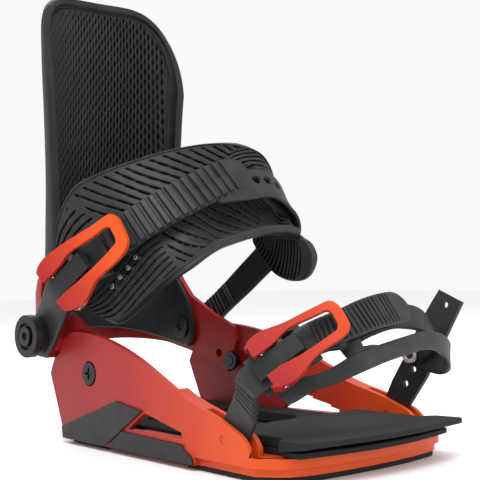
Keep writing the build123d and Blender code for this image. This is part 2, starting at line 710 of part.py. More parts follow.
def make_lever_pin(size, frame):
    pin = local_y_cylinder(PIN_R, 0, LEVER_PIN_Z, size.arm_in + ARM_WALL - 0.3)
    return frame.location * pin


def make_pawl(size, frame):
    """Sprung pawl under a box-shaped cover; its hooked front edge drops behind a rib of the ladder."""
    pin_x = pawl_pin_x(size)
    side = [(size.pawl_rear, 3.3), (size.pawl_rear, 5.8), (-3, 9.0), (4, 9.6), (size.pawl_front - 1, 10.4)]
    side += [(size.pawl_front, 6.0), (pin_x + 4.5, 2.3), (pin_x - 2, 2.8)]
    face = Plane.XZ * make_face(Polyline(*side, close=True))
    body = extrude(face, amount=size.pawl_half, both=True)
    body -= local_y_cylinder(PAWL_PIN_R + PIN_CLEAR, pin_x, PAWL_PIN_Z, 40)
    body -= local_y_cylinder(PIN_R + 1.1, 0, LEVER_PIN_Z, 40)
    return frame.location * body


def make_pawl_pin(size, frame):
    pin = local_y_cylinder(PAWL_PIN_R, pawl_pin_x(size), PAWL_PIN_Z, size.ear_out - 0.05)
    return frame.location * pin


def make_pawl_spring(size, frame):
    """Torsion spring coils on the pawl pin, either side of the pawl."""
    coils = []
    gap = size.ear_in - size.pawl_half
    for s in (-1, 1):
        for turn in (0.28, 0.5, 0.72):
            y = s * (size.pawl_half + gap * turn)
            coil = Torus(1.9, 0.28)
            coils.append(Pos(pawl_pin_x(size), y, PAWL_PIN_Z) * Rot(90, 0, 0) * coil)
    return frame.location * Compound(coils)


# ---------------------------------------------------------------- toe strap
TOE_LADDER = [
    ((68, -56.8, 13.5), (0.70, 0.0, -0.71), 8),
    ((72, -57.0, 17), (0.70, 0.0, -0.71), 13),
    ((82, -57.5, 28), (0.70, 0.0, -0.71), TOE_LADDER_WIDTH),
    ((88, -60, 35.5), (0.68, 0.10, -0.73), TOE_LADDER_WIDTH),
    (frame_point(TOE_FRAME, -10), (0.62, 0.19, -0.76), TOE_LADDER_WIDTH),
    (frame_point(TOE_FRAME, 22), (0.62, 0.19, -0.76), TOE_LADDER_WIDTH),
    ((120.5, -32, 69), (0.60, 0.14, -0.79), TOE_LADDER_WIDTH),
    ((124, -18, 73.5), (0.56, 0.10, -0.82), TOE_LADDER_WIDTH + 0.5),
    ((124, -4, 75.5), (0.54, 0.08, -0.84), TOE_LADDER_WIDTH + 1),
    ((123, 5, 76), (0.54, 0.08, -0.84), TOE_LADDER_WIDTH),
    ((122.5, 10, 76), (0.54, 0.08, -0.84), 8),
]
# the cap's front band, from its rounded near end round the toe to the far side
TOE_FRONT_BAND = [
    ((101.5, -54.4, 39.8), (0.60, 0.25, -0.76), 9),
    ((104.8, -50.7, 41.4), (0.60, 0.25, -0.76), 13),
    ((111.2, -43.6, 43.5), (0.50, 0.22, -0.84), 7.5),
    ((118.8, -34.8, 47.4), (0.35, 0.10, -0.93), 7.5),
    ((124.5, -25, 52.5), (0.20, 0.0, -0.98), 9),
    ((126, -12, 55.5), (0.10, 0.0, -1.0), 8.5),
    ((126, 4, 58), (0.05, 0.0, -1.0), 8.5),
    ((125, 18, 59.5), (0.0, 0.0, -1.0), 8.5),
    ((123.5, 30, 58.5), (0.0, -0.1, -1.0), 9),
    ((120.5, 41, 54.5), (0.0, -0.1, -1.0), 10),
    ((116, 48.5, 49), (0.1, -0.1, -1.0), 12),
    ((108, 52.3, 46.5), (0.3, 0.0, -0.95), 13),
    ((97, 53.3, 48.5), (0.5, 0.0, -0.87), 13),
    ((89, 53.3, 50), (0.5, 0.0, -0.87), 10),
]
# the cap's plate under the buckle
TOE_PLATE = [
    (frame_point(TOE_FRAME, -9, -4, -5.2), (0.62, 0.19, -0.76), 9),
    (frame_point(TOE_FRAME, 0, -3, -5.2), (0.62, 0.19, -0.76), 12),
    (frame_point(TOE_FRAME, 24, -2, -5.2), (0.62, 0.19, -0.76), 11),
    (frame_point(TOE_FRAME, 34, -6.5, -5.6), (0.62, 0.19, -0.76), 11),
    ((123.5, -25, 56), (0.30, 0.05, -0.95), 9),
    ((126, -12, 57.5), (0.10, 0.0, -1.0), 7),
]
TOE_UPPER_BAND = [
    (frame_point(TOE_FRAME, 2, 0, -8.4), (0.62, 0.19, -0.76), 12),
    (frame_point(TOE_FRAME, 24, 0, -8.4), (0.62, 0.19, -0.76), 12),
    ((114.2, -25.2, 63.8), (0.50, 0.14, -0.86), 12),
    ((118.3, -13.2, 68.6), (0.45, 0.10, -0.88), 12),
    ((120, -2, 71.2), (0.42, 0.05, -0.90), 12),
    ((118.5, 13, 71), (0.38, 0.0, -0.92), 12.5),
    ((116, 27, 69), (0.35, 0.0, -0.94), 13),
    ((112, 40, 64), (0.40, 0.0, -0.92), 13),
    ((107, 48.8, 59), (0.5, 0.0, -0.86), 13),
    ((99, 49.9, 54), (0.6, 0.0, -0.80), 13),
    ((89, 50.1, 47.5), (0.64, 0.0, -0.77), 11),
]
ADJUSTER = [
    ((68, 56.8, 13.5), (0.77, 0.0, -0.64), 8),
    ((72, 57.0, 17.5), (0.77, 0.0, -0.64), 13),
    ((80, 57.5, 30), (0.76, 0.0, -0.65), 16),
    ((88, 58.3, 42), (0.76, 0.0, -0.65), 17),
    ((94, 58.3, 52), (0.78, 0.0, -0.62), 17),
    ((99, 60, 62), (0.84, 0.0, -0.54), 17),
    ((103, 63.5, 72), (0.86, 0.0, -0.50), 16),
    ((106, 66, 79), (0.86, 0.0, -0.50), 15),
]
TOE_SCREW = (93.0, 50.0)


def make_toe_ladder():
    ladder = strap(TOE_LADDER, 2.6)
    ladder -= y_cylinder(ANCHOR_R + PIN_CLEAR, ANCHOR_X, ANCHOR_Z, -50, -70)
    return ladder


def make_toe_cap():
    return strap(TOE_FRONT_BAND, 2.6) + strap(TOE_PLATE, 2.4) - toe_screw_hole()


def make_toe_upper_band():
    return strap(TOE_UPPER_BAND, 2.4) - toe_screw_hole()


def toe_screw_hole():
    return y_cylinder(STRAP_SCREW_R + PIN_CLEAR, TOE_SCREW[0], TOE_SCREW[1], 40, 70)


def make_adjuster():
    band = strap(ADJUSTER, 2.6)
    band -= y_cylinder(ANCHOR_R + PIN_CLEAR, ANCHOR_X, ANCHOR_Z, 50, 70)
    band -= toe_screw_hole()
    for x, z in ((87.3, 41.2), (82.2, 33.5), (104, 74.5)):
        band -= y_cylinder(1.7, x, z, 50, 75)
    return band


def make_toe_screw():
    x, z = TOE_SCREW
    shank = y_cylinder(STRAP_SCREW_R, x, z, 47.4, 60.2)
    head = y_cylinder(4.6, x, z, 60.2, 62.2)
    socket = y_cylinder(1.6, x, z, 61, 66)
    return shank + head - socket


def make_toe_nut():
    x, z = TOE_SCREW
    nut = y_cylinder(4.6, x, z, 46.6, 48.6)
    return nut - y_cylinder(2.52, x, z, 40, 60)


# ---------------------------------------------------------------- write the parts
def main():
    save(make_baseplate(), "baseplate")
    save(make_bushing(True), "front_base_bushing")
    save(make_bushing(False), "rear_base_bushing")
    save(make_mounting_disc(), "mounting_disc")
    save(make_heel_pad(), "footbed_heel_pad")
    save(make_ramp_plate(), "toe_ramp_plate")
    save(make_ramp_pad(), "toe_ramp_pad")
    for side, word in ((-1, "outer"), (1, "inner")):
        save(make_corner_cover(side), f"heel_corner_cover_{word}")
        save(make_side_strip(side), f"side_strip_{word}")
    save(make_heelcup(), "heelcup")
    save(make_heelcup_screws(), "heelcup_screws")
    save(make_heelcup_nuts(), "heelcup_nuts")
    save(make_strap_discs(), "strap_discs")
    save(make_pivot_screws(), "pivot_screws")
    save(make_pivot_nuts(), "pivot_nuts")
    save(make_anchor_pins(), "toe_anchor_pins")
    save(make_highback(), "highback")
    save(make_highback_pad(), "highback_pad")
    save(make_lean_track(), "lean_track")
    save(make_track_screws(), "lean_track_screws")
    save(make_lean_block(), "lean_block")
    save(make_lean_lever(), "lean_lever")
    save(make_lean_pin(), "lean_lever_pin")
    save(make_ankle_ladder(), "ankle_ladder")
    save(make_ankle_pad(), "ankle_pad")
    save(make_connector(), "ankle_connector")
    save(make_connector_screw(), "ankle_connector_screw")
    save(make_ankle_studs(), "ankle_pad_studs")
    for word, size, frame in (("ankle", ANKLE_BUCKLE, ANKLE_FRAME), ("toe", TOE_BUCKLE, TOE_FRAME)):
        save(make_buckle_base(size, frame), f"{word}_buckle_base")
        save(make_buckle_lever(size, frame), f"{word}_buckle_lever")
        save(make_lever_pin(size, frame), f"{word}_lever_pin")
        save(make_pawl(size, frame), f"{word}_pawl")
        save(make_pawl_pin(size, frame), f"{word}_pawl_pin")
        save(make_pawl_spring(size, frame), f"{word}_pawl_spring")
    save(make_toe_ladder(), "toe_ladder")
    save(make_toe_cap(), "toe_cap")
    save(make_toe_upper_band(), "toe_upper_band")
    save(make_adjuster(), "toe_adjuster")
    save(make_toe_screw(), "toe_adjuster_screw")
    save(make_toe_nut(), "toe_adjuster_nut")


main()
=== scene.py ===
"""Looks of the snowboard strap binding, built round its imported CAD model. Metres, +X toe, +Z up."""

import json
import math

import bmesh
import bpy
import numpy as np
from mathutils import Matrix, Vector

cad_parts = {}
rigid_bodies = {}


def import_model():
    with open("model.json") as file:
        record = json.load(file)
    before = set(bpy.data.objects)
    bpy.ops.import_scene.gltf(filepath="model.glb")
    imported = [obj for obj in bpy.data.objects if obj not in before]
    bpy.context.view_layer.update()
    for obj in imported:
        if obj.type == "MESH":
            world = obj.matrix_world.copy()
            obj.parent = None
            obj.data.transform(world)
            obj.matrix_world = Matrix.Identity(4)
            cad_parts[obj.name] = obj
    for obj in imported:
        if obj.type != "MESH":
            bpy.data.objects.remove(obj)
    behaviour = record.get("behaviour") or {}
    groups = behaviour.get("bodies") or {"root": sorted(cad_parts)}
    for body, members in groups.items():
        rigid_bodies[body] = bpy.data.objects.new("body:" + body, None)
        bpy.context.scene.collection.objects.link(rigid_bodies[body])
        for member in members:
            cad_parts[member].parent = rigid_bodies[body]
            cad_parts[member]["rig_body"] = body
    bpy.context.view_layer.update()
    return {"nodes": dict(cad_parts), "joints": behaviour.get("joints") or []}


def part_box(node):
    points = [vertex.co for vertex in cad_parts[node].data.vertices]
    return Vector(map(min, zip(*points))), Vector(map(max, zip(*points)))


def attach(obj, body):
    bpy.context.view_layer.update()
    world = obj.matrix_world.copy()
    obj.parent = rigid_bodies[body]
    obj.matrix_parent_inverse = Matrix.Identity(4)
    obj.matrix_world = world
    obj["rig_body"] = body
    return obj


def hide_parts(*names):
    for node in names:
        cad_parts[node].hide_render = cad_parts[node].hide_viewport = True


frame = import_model()
MM = 0.001
JOINTS = {j["name"]: j for j in frame["joints"]}


# ---------------------------------------------------------------- materials
class Nodes:
    """A material's node tree, with short calls to add and join nodes."""

    def __init__(self, name):
        self.material = bpy.data.materials.new(name)
        self.material.use_nodes = True
        self.tree = self.material.node_tree
        self.shader = self.tree.nodes["Principled BSDF"]

    def add(self, kind, **settings):
        made = self.tree.nodes.new("ShaderNode" + kind)
        for key, value in settings.items():
            if key in made.inputs:
                made.inputs[key].default_value = value
            else:
                setattr(made, key, value)
        return made

    def join(self, out, into):
        self.tree.links.new(out, into)

    def object_coords(self):
        return self.add("TexCoord").outputs["Object"]

    def noise(self, coords, scale, detail=4.0, roughness=0.55):
        made = self.add("TexNoise", Scale=scale, Detail=detail, Roughness=roughness)
        self.join(coords, made.inputs["Vector"])
        return made.outputs["Fac"]

    def ramp(self, fac, stops):
        made = self.add("ValToRGB")
        elements = made.color_ramp.elements
        while len(elements) < len(stops):
            elements.new(0.5)
        for element, (place, colour) in zip(elements, stops):
            element.position = place
            element.color = (*colour, 1.0)
        self.join(fac, made.inputs["Fac"])
        return made.outputs["Color"]

    def remap(self, value, low, high, to_low, to_high):
        made = self.add("MapRange")
        made.inputs["From Min"].default_value = low
        made.inputs["From Max"].default_value = high
        made.inputs["To Min"].default_value = to_low
        made.inputs["To Max"].default_value = to_high
        self.join(value, made.inputs["Value"])
        return made.outputs["Result"]

    def bump(self, height, strength, distance, under=None):
        made = self.add("Bump")
        made.inputs["Strength"].default_value = strength
        made.inputs["Distance"].default_value = distance
        self.join(height, made.inputs["Height"])
        if under is not None:
            self.join(under, made.inputs["Normal"])
        return made.outputs["Normal"]

    def multiply(self, a, b):
        made = self.add("Mix", data_type="RGBA", blend_type="MULTIPLY")
        made.inputs["Factor"].default_value = 1.0
        self.join(a, made.inputs["A"])
        self.join(b, made.inputs["B"])
        return made.outputs["Result"]


def along(nodes, coords, direction, start, end):
    """0 to 1 from one distance along a direction to another, in metres from the origin."""
    dot = nodes.add("VectorMath", operation="DOT_PRODUCT")
    dot.inputs[1].default_value = direction
    nodes.join(coords, dot.inputs[0])
    return nodes.remap(dot.outputs["Value"], start, end, 0.0, 1.0)


# noise scales are per metre and bump heights are metres
SINK_SCALE, SINK_HEIGHT = 38.0, 0.0006
TINT_SCALE = 120.0
GRAIN_HEIGHT = 0.00018


def finish_moulded(nodes, coords, colour, rough, grain, depth, scuff=0.12):
    """Moulded plastic: spark-eroded grain, soft sink marks, and a roughness that wanders."""
    wide = nodes.noise(coords, SINK_SCALE, 3.0)
    fine = nodes.noise(coords, grain, 2.0, 0.6)
    tone = nodes.ramp(wide, [(0.30, (0.86, 0.86, 0.86)), (0.70, (1.0, 1.0, 1.0))])
    nodes.join(nodes.multiply(colour, tone), nodes.shader.inputs["Base Color"])
    worn = nodes.remap(wide, 0.3, 0.7, rough - scuff / 2, rough + scuff / 2)
    nodes.join(worn, nodes.shader.inputs["Roughness"])
    soft = nodes.bump(wide, 0.12, SINK_HEIGHT)
    nodes.join(nodes.bump(fine, depth, GRAIN_HEIGHT, soft), nodes.shader.inputs["Normal"])
    return nodes.material


def moulded(name, dark, light, rough, grain, depth, specular):
    """Moulded plastic between two close tones; grain is the noise scale, depth the grain's strength."""
    nodes = Nodes(name)
    coords = nodes.object_coords()
    colour = nodes.ramp(nodes.noise(coords, TINT_SCALE, 5.0), [(0.35, dark), (0.65, light)])
    nodes.shader.inputs["Specular IOR Level"].default_value = specular
    return finish_moulded(nodes, coords, colour, rough, grain, depth)


RED_DEEP = (0.29, 0.013, 0.014)
RED = (0.36, 0.018, 0.017)
RED_ORANGE = (0.54, 0.046, 0.014)
ORANGE = (0.68, 0.082, 0.012)
FADE = [(0.0, RED_DEEP), (0.35, RED), (0.75, RED_ORANGE), (1.0, ORANGE)]
SHELL_GRAIN, SHELL_GRAIN_DEPTH = 1700.0, 0.22


def fading_shell(name, direction, start, end, rough=0.42):
    """Through-dyed nylon whose colour fades from red to orange along a direction."""
    nodes = Nodes(name)
    coords = nodes.object_coords()
    colour = nodes.ramp(along(nodes, coords, direction, start, end), FADE)
    nodes.shader.inputs["Specular IOR Level"].default_value = 0.2
    nodes.shader.inputs["Coat Weight"].default_value = 0.03
    return finish_moulded(nodes, coords, colour, rough, SHELL_GRAIN, SHELL_GRAIN_DEPTH, scuff=0.10)


PORE_SCALE, MOTTLE_SCALE = 900.0, 60.0
TURNING_SCALE = 500.0


def foam(name, dark, light):
    """Closed-cell EVA foam: fine pores over a slow mottling, with no shine."""
    nodes = Nodes(name)
    coords = nodes.object_coords()
    cells = nodes.add("TexVoronoi", Scale=PORE_SCALE)
    nodes.join(coords, cells.inputs["Vector"])
    pores = nodes.remap(cells.outputs["Distance"], 0.0, 0.5, 0.0, 1.0)
    mottle = nodes.noise(coords, MOTTLE_SCALE, 5.0, 0.6)
    colour = nodes.ramp(mottle, [(0.3, dark), (0.7, light)])
    nodes.join(colour, nodes.shader.inputs["Base Color"])
    nodes.join(nodes.remap(mottle, 0.3, 0.7, 0.78, 0.92), nodes.shader.inputs["Roughness"])
    nodes.shader.inputs["Specular IOR Level"].default_value = 0.25
    soft = nodes.bump(mottle, 0.2, 0.0004)
    nodes.join(nodes.bump(pores, 0.45, 0.0002, soft), nodes.shader.inputs["Normal"])
    return nodes.material


def metal(name, dark, light, rough):
    """Plated steel with fine turning marks."""
    nodes = Nodes(name)
    coords = nodes.object_coords()
    wave = nodes.add("TexNoise", Scale=TURNING_SCALE, Detail=3.0)
    nodes.join(coords, wave.inputs["Vector"])
    fac = wave.outputs["Fac"]
    nodes.join(nodes.ramp(fac, [(0.35, dark), (0.65, light)]), nodes.shader.inputs["Base Color"])
    nodes.shader.inputs["Metallic"].default_value = 1.0
    nodes.join(nodes.remap(fac, 0.3, 0.7, rough - 0.06, rough + 0.08), nodes.shader.inputs["Roughness"])
    nodes.join(nodes.bump(fac, 0.15, 0.0001), nodes.shader.inputs["Normal"])
    return nodes.material


SHELL = fading_shell("shell_fade", (1.0, 0.0, 0.0), -0.055, 0.085)
CUP = moulded(
    "cup_red", RED_DEEP, RED, rough=0.42, grain=SHELL_GRAIN, depth=SHELL_GRAIN_DEPTH, specular=0.2,
)
STRAP = moulded(
    "strap_urethane", (0.019, 0.0195, 0.0205), (0.030, 0.0305, 0.032),
    rough=0.46, grain=1500.0, depth=0.3, specular=0.28,
)
# black strap plastic of the pawls, connector and upper toe strap, also used as the painted shade in the
# grooves of the grey ladders and pad
STRAP_BLACK_AND_GROOVE_SHADE = moulded(
    "strap_black_and_groove_shade", (0.0060, 0.0060, 0.0062), (0.0105, 0.0105, 0.0110),
    rough=0.5, grain=1500.0, depth=0.3, specular=0.35,
)
BUCKLE = moulded(
    "buckle_grey", (0.021, 0.0215, 0.0225), (0.032, 0.0325, 0.034),
    rough=0.44, grain=1500.0, depth=0.25, specular=0.32,
)
TRIM = moulded(
    "trim_dark", (0.016, 0.0165, 0.0172), (0.025, 0.0255, 0.0265),
    rough=0.52, grain=1300.0, depth=0.35, specular=0.26,
)
HIGHBACK = moulded(
    "highback_black", (0.0075, 0.0073, 0.0072), (0.013, 0.0125, 0.0125),
    rough=0.50, grain=1300.0, depth=0.4, specular=0.3,
)
RIBBED = moulded(
    "highback_pad_black", (0.008, 0.008, 0.0082), (0.014, 0.014, 0.0145),
    rough=0.55, grain=1300.0, depth=0.3, specular=0.3,
)
# near-black painted shade for the floors of grooves, rib gaps, holes and countersinks, darker than any
# part's own colour
GROOVE_SHADE_PAINT = moulded(
    "rib_gap_painted_shade", (0.0012, 0.0012, 0.0013), (0.0022, 0.0022, 0.0023),
    rough=0.8, grain=1300.0, depth=0.2, specular=0.1,
)
EVA = foam("eva_black", (0.011, 0.011, 0.012), (0.020, 0.020, 0.021))
STEEL = metal("zinc_steel", (0.52, 0.52, 0.54), (0.70, 0.70, 0.72), 0.28)
STEEL_DARK = metal("black_oxide_steel", (0.030, 0.030, 0.033), (0.055, 0.055, 0.060), 0.42)


# ---------------------------------------------------------------- mesh helpers
# angles between faces, in degrees: shaded sharp, merged as flat, and given a moulded edge
PIECE_SHARP_DEG, SOFTENED_SHARP_DEG = 50, 38
FLAT_DEG, BEVEL_DEG = 0.6, 28.0
BEVEL_SEGMENTS = 3
MERGE_DISTANCE = 0.01 * MM
# how full a strap's rounded ends are, and the share of its half width where the edge begins
ROUND_POWER, EDGE_START = 2.4, 0.86


def add_piece(name, verts, faces, material, body, replaces=(), deep=None, shade_material=None):
    """A smooth-shaded mesh piece that rides on a body and stands for CAD nodes.

    deep marks the points that lie in grooves, whose faces take the second material, a painted shade.
    """
    mesh = bpy.data.meshes.new(name)
    mesh.from_pydata([tuple(v) for v in verts], [], faces)
    mesh.validate()
    made = bpy.data.objects.new(name, mesh)
    bpy.context.scene.collection.objects.link(made)
    work = bmesh.new()
    work.from_mesh(mesh)
    bmesh.ops.recalc_face_normals(work, faces=work.faces)
    work.to_mesh(mesh)
    work.free()
    mesh.shade_smooth()
    mesh.set_sharp_from_angle(angle=math.radians(PIECE_SHARP_DEG))
    mesh.materials.append(material)
    if deep is not None:
        mesh.materials.append(shade_material)
        sunk = deep.reshape(-1)
        flags = [int(sum(sunk[v] for v in face.vertices) > 2) for face in mesh.polygons]
        mesh.polygons.foreach_set("material_index", flags)
    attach(made, body)
    if replaces:
        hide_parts(*replaces)
    return made


def softened(node, material, radius, shape=None):
    """A CAD node's shape with its sharp edges rounded off as a mould would leave them.

    The radius is in millimetres, and shape(x, y, z) may move the points first, in millimetres too.
    """
    source = frame["nodes"][node]
    body = source["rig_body"]
    work = bmesh.new()
    work.from_mesh(source.data)
    bmesh.ops.remove_doubles(work, verts=work.verts, dist=MERGE_DISTANCE)
    bmesh.ops.dissolve_limit(work, angle_limit=math.radians(FLAT_DEG), verts=work.verts, edges=work.edges)
    if shape:
        for vert in work.verts:
            vert.co = Vector(shape(*(vert.co / MM))) * MM
    limit = math.radians(BEVEL_DEG)
    edges = [e for e in work.edges if e.is_manifold and e.calc_face_angle() > limit]
    bmesh.ops.bevel(
        work, geom=edges, offset=radius * MM, offset_type="OFFSET", segments=BEVEL_SEGMENTS,
        profile=0.5, affect="EDGES", clamp_overlap=True,
    )
    bmesh.ops.recalc_face_normals(work, faces=work.faces)
    mesh = bpy.data.meshes.new(node + "_shape")
    work.to_mesh(mesh)
    work.free()
    mesh.shade_smooth()
    mesh.set_sharp_from_angle(angle=math.radians(SOFTENED_SHARP_DEG))
    mesh.materials.append(material)
    made = bpy.data.objects.new(node + "_finish", mesh)
    bpy.context.scene.collection.objects.link(made)
    weighted = made.modifiers.new("flat_faces", "WEIGHTED_NORMAL")
    weighted.keep_sharp = True
    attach(made, body)
    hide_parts(node)


def smooth_curve(rows, place, wanted):
    """Rows at the wanted places, on smooth curves through the given rows at their own places."""
    slope = np.gradient(rows, place, axis=0)
    i = np.clip(np.searchsorted(place, wanted, side="right") - 1, 0, len(place) - 2)
    step = (place[i + 1] - place[i])[:, None]
    t = (wanted - place[i])[:, None] / step
    level = rows[i] * (2 * t**3 - 3 * t**2 + 1) + rows[i + 1] * (3 * t**2 - 2 * t**3)
    return level + slope[i] * step * (t**3 - 2 * t**2 + t) + slope[i + 1] * step * (t**3 - t**2)


def smooth_rows(rows, count):
    """Rows evenly spaced along a smooth curve, and their distances along it.

    The first 3 values of a row are a point.
    """
    rows = np.array(rows, float)
    gaps = np.linalg.norm(np.diff(rows[:, :3], axis=0), axis=1)
    place = np.concatenate([[0.0], np.cumsum(gaps)])
    wanted = np.linspace(0.0, place[-1], count)
    return smooth_curve(rows, place, wanted), wanted


def tube_faces(rings, around):
    """Quads between closed rings of points, with a fan-free cap at each end."""
    faces = []
    for i in range(rings - 1):
        for j in range(around):
            k = (j + 1) % around
            faces.append((i * around + j, i * around + k, (i + 1) * around + k, (i + 1) * around + j))
    half = around // 2
    for base in (0, (rings - 1) * around):
        for j in range(half - 1):
            faces.append((base + j, base + j + 1, base + around - 2 - j, base + around - 1 - j))
    return faces


def closed_skin(
    name, outer, inner, material, body, replaces=(), sunk=(None, None), shade_material=STRAP_BLACK_AND_GROOVE_SHADE,
):
    """A closed piece between an outer and an inner grid of points, in millimetres.

    sunk marks the points of the two grids that take the deep material, a painted shade.
    """
    rings = np.concatenate([outer, inner[:, ::-1]], axis=1)
    deep = None
    if any(part is not None for part in sunk):
        plain = np.zeros(outer.shape[:2], bool)
        first, second = (plain if part is None else part for part in sunk)
        deep = np.concatenate([first, second[:, ::-1]], axis=1)
    faces = tube_faces(*rings.shape[:2])
    verts = rings.reshape(-1, 3) * MM
    return add_piece(name, verts, faces, material, body, replaces, deep, shade_material)


def unit(v):
    return v / np.linalg.norm(v, axis=-1, keepdims=True)


def grid_normals(points):
    """Outward normals of a grid of points."""
    return unit(np.cross(np.gradient(points, axis=1), np.gradient(points, axis=0)))


def band(
    name, stations, thick, body, material, replaces=(), steps=220, across=15, relief=None,
    round_ends=(0, 0), sunk=None, shade_material=STRAP_BLACK_AND_GROOVE_SHADE,
):
    """A flat strap along (centre, width direction, width) stations in millimetres.

    relief(s, a, length) is the height added to the outer face at s mm along and a in -1 to 1 across,
    and sunk(s, a, length) is true where the face lies deep and takes the deep material, a painted shade.
    """
    rows = [[*centre, *side, width] for centre, side, width in stations]
    data, place = smooth_rows(rows, steps)
    centre = data[:, :3]
    tangent = unit(np.gradient(centre, axis=0))
    side = data[:, 3:6]
    side = unit(side - tangent * np.sum(side * tangent, axis=1, keepdims=True))
    normal = np.cross(side, tangent)
    half = data[:, 6] / 2
    for end, radius in zip((place, place[-1] - place), round_ends):
        if radius:
            t = np.clip(end / radius, 0.0, 1.0)
            half = half * np.sqrt(np.clip(1 - (1 - t) ** ROUND_POWER, 0.004, 1.0))
    a = np.sin(np.linspace(-math.pi / 2, math.pi / 2, across))
    edge = np.clip((np.abs(a) - EDGE_START) / (1 - EDGE_START), 0, 1)
    lift = np.sqrt(np.clip(1 - edge**2 * 0.92, 0, 1)) * thick / 2
    grid_s, grid_a = np.meshgrid(place, a, indexing="ij")
    extra = relief(grid_s, grid_a, place[-1]) if relief else np.zeros_like(grid_s)
    top = centre[:, None] + side[:, None] * (half[:, None] * a)[..., None]
    bottom = top - normal[:, None] * lift[None, :, None]
    top = top + normal[:, None] * (lift[None, :] + extra)[..., None]
    flags = sunk(grid_s, grid_a, place[-1]) if sunk else None
    closed_skin(name, top, bottom, material, body, replaces, (flags, None), shade_material)


def smoothstep(value, low, high):
    t = np.clip((value - low) / (high - low), 0.0, 1.0)
    return t * t * (3 - 2 * t)


# ---------------------------------------------------------------- buckle frames
def buckle_frame(joint, forward):
    """Pin position and the buckle's three directions, from the lever's joint."""
    pin = np.array(JOINTS[joint]["pos_m"]) / MM
    across = -np.array(JOINTS[joint]["axis"], float)
    forward = np.array(forward, float)
    forward = forward - across * forward.dot(across)
    forward = forward / np.linalg.norm(forward)
    return pin, forward, across, np.cross(forward, across)


ANKLE_ALONG = (0.68, 0.33, 0.655)
TOE_ALONG = (0.455, 0.70, 0.545)
ANKLE = buckle_frame("ankle_lever_lift", ANKLE_ALONG)
TOE = buckle_frame("toe_lever_lift", TOE_ALONG)
PIN_HEIGHT = 5.6


def on_buckle(buckle, x, y, z):
    """A point in a buckle's own directions, with z counted from the ladder's middle."""
    pin, forward, across, out = buckle
    return pin + forward * x + across * y + out * (z - PIN_HEIGHT)


# ---------------------------------------------------------------- ladders
ANKLE_SIDE = (0.66, 0.25, -0.71)
TOE_SIDE = (0.62, 0.19, -0.76)
ANKLE_LADDER = [
    ((-96, -58, 51.5), (0.70, 0.0, -0.71), 20),
    ((-87, -58.4, 59.5), (0.70, 0.02, -0.71), 24),
    ((-79.5, -59.4, 66.2), (0.69, 0.05, -0.71), 23.5),
    ((-71, -61.2, 73.8), (0.67, 0.12, -0.71), 22.5),
    (on_buckle(ANKLE, -8, 0, 0), ANKLE_SIDE, 21),
    (on_buckle(ANKLE, 28, 0, 0), ANKLE_SIDE, 21),
    ((-24, -44.5, 115.5), (0.62, 0.22, -0.75), 21),
    ((-13, -29.5, 127), (0.60, 0.20, -0.77), 21.5),
    ((-7, -13.5, 136), (0.58, 0.16, -0.80), 22),
    ((-3.5, 3.5, 143.8), (0.56, 0.14, -0.81), 22),
    ((-1, 17, 149), (0.56, 0.12, -0.81), 21),
    ((-0.5, 22, 150.5), (0.56, 0.12, -0.81), 19),
]
TOE_LADDER = [
    ((68, -56.8, 13.5), (0.70, 0.0, -0.71), 13),
    ((72, -57.0, 17), (0.70, 0.0, -0.71), 16),
    ((82, -57.5, 28), (0.70, 0.0, -0.71), 18.5),
    ((88, -60, 35.5), (0.68, 0.10, -0.73), 16),
    (on_buckle(TOE, -11.5, 0, -1.2), TOE_SIDE, 14.5),
    (on_buckle(TOE, -5, 0, -0.2), TOE_SIDE, 14.5),
    (on_buckle(TOE, 22, 0, 0), TOE_SIDE, 14.5),
    ((120.5, -32, 69), (0.60, 0.14, -0.79), 15),
    ((124, -18, 73.5), (0.56, 0.10, -0.82), 16),
    ((124, -4, 75.5), (0.54, 0.08, -0.84), 16.5),
    ((123, 5, 76), (0.54, 0.08, -0.84), 16),
    ((122.5, 10, 76), (0.54, 0.08, -0.84), 14),
]


def rib_shape(s, a, length, runs):
    """0 between ribs and 1 on them, for runs of (first mm, last mm, pitch); last may count from the end."""
    shape = np.zeros_like(s)
    within = np.zeros_like(s)
    for first, last, pitch in runs:
        stop = last if last > 0 else length + last
        phase = ((s - first) / pitch) % 1.0
        bar = smoothstep(phase, 0.0, 0.14) * (1 - smoothstep(phase, 0.60, 0.74))
        inside = smoothstep(s, first - 0.4, first) * (1 - smoothstep(s, stop, stop + 0.4))
        shape += bar * inside
        within += inside
    wide = 1 - smoothstep(np.abs(a), 0.93, 0.985)
    return shape * wide, within * wide


def ridges(runs, height):
    """Flat-topped cross ribs over the given runs."""
    def relief(s, a, length):
        return height * rib_shape(s, a, length, runs)[0]
    return relief


def between_ribs(runs):
    """True in the gaps of the given runs of ribs, which take a painted shade."""
    def sunk(s, a, length):
        shape, within = rib_shape(s, a, length, runs)
        return (shape < 0.12) & (within > 0.9) & (np.abs(a) < 0.93)
    return sunk


ANKLE_THICK, TOE_THICK, BAND_THICK, TAB_THICK = 3.0, 2.6, 2.4, 3.6
ANKLE_RIB, FINE_RIB = 1.7, 0.9
ANKLE_RIBS = [(84.0, -12.5, 5.15)]
TOE_RIBS = [(26.0, 40.0, 2.55), (78.0, -13.0, 2.35)]
CONNECTOR_RIBS = [(26.0, 46.0, 3.2)]


def make_ladders():
    # the gaps between the ladder ribs take the black strap material as painted shade
    band(
        "ankle_ladder_strap", ANKLE_LADDER, ANKLE_THICK, "ankle_strap", STRAP,
        ["ankle_ladder"], steps=760, relief=ridges(ANKLE_RIBS, ANKLE_RIB), round_ends=(9.0, 9.0),
        sunk=between_ribs(ANKLE_RIBS),
    )
    band(
        "toe_ladder_strap", TOE_LADDER, TOE_THICK, "toe_strap", STRAP,
        ["toe_ladder"], steps=760, relief=ridges(TOE_RIBS, FINE_RIB), round_ends=(5.0, 8.0),
        sunk=between_ribs(TOE_RIBS),
    )


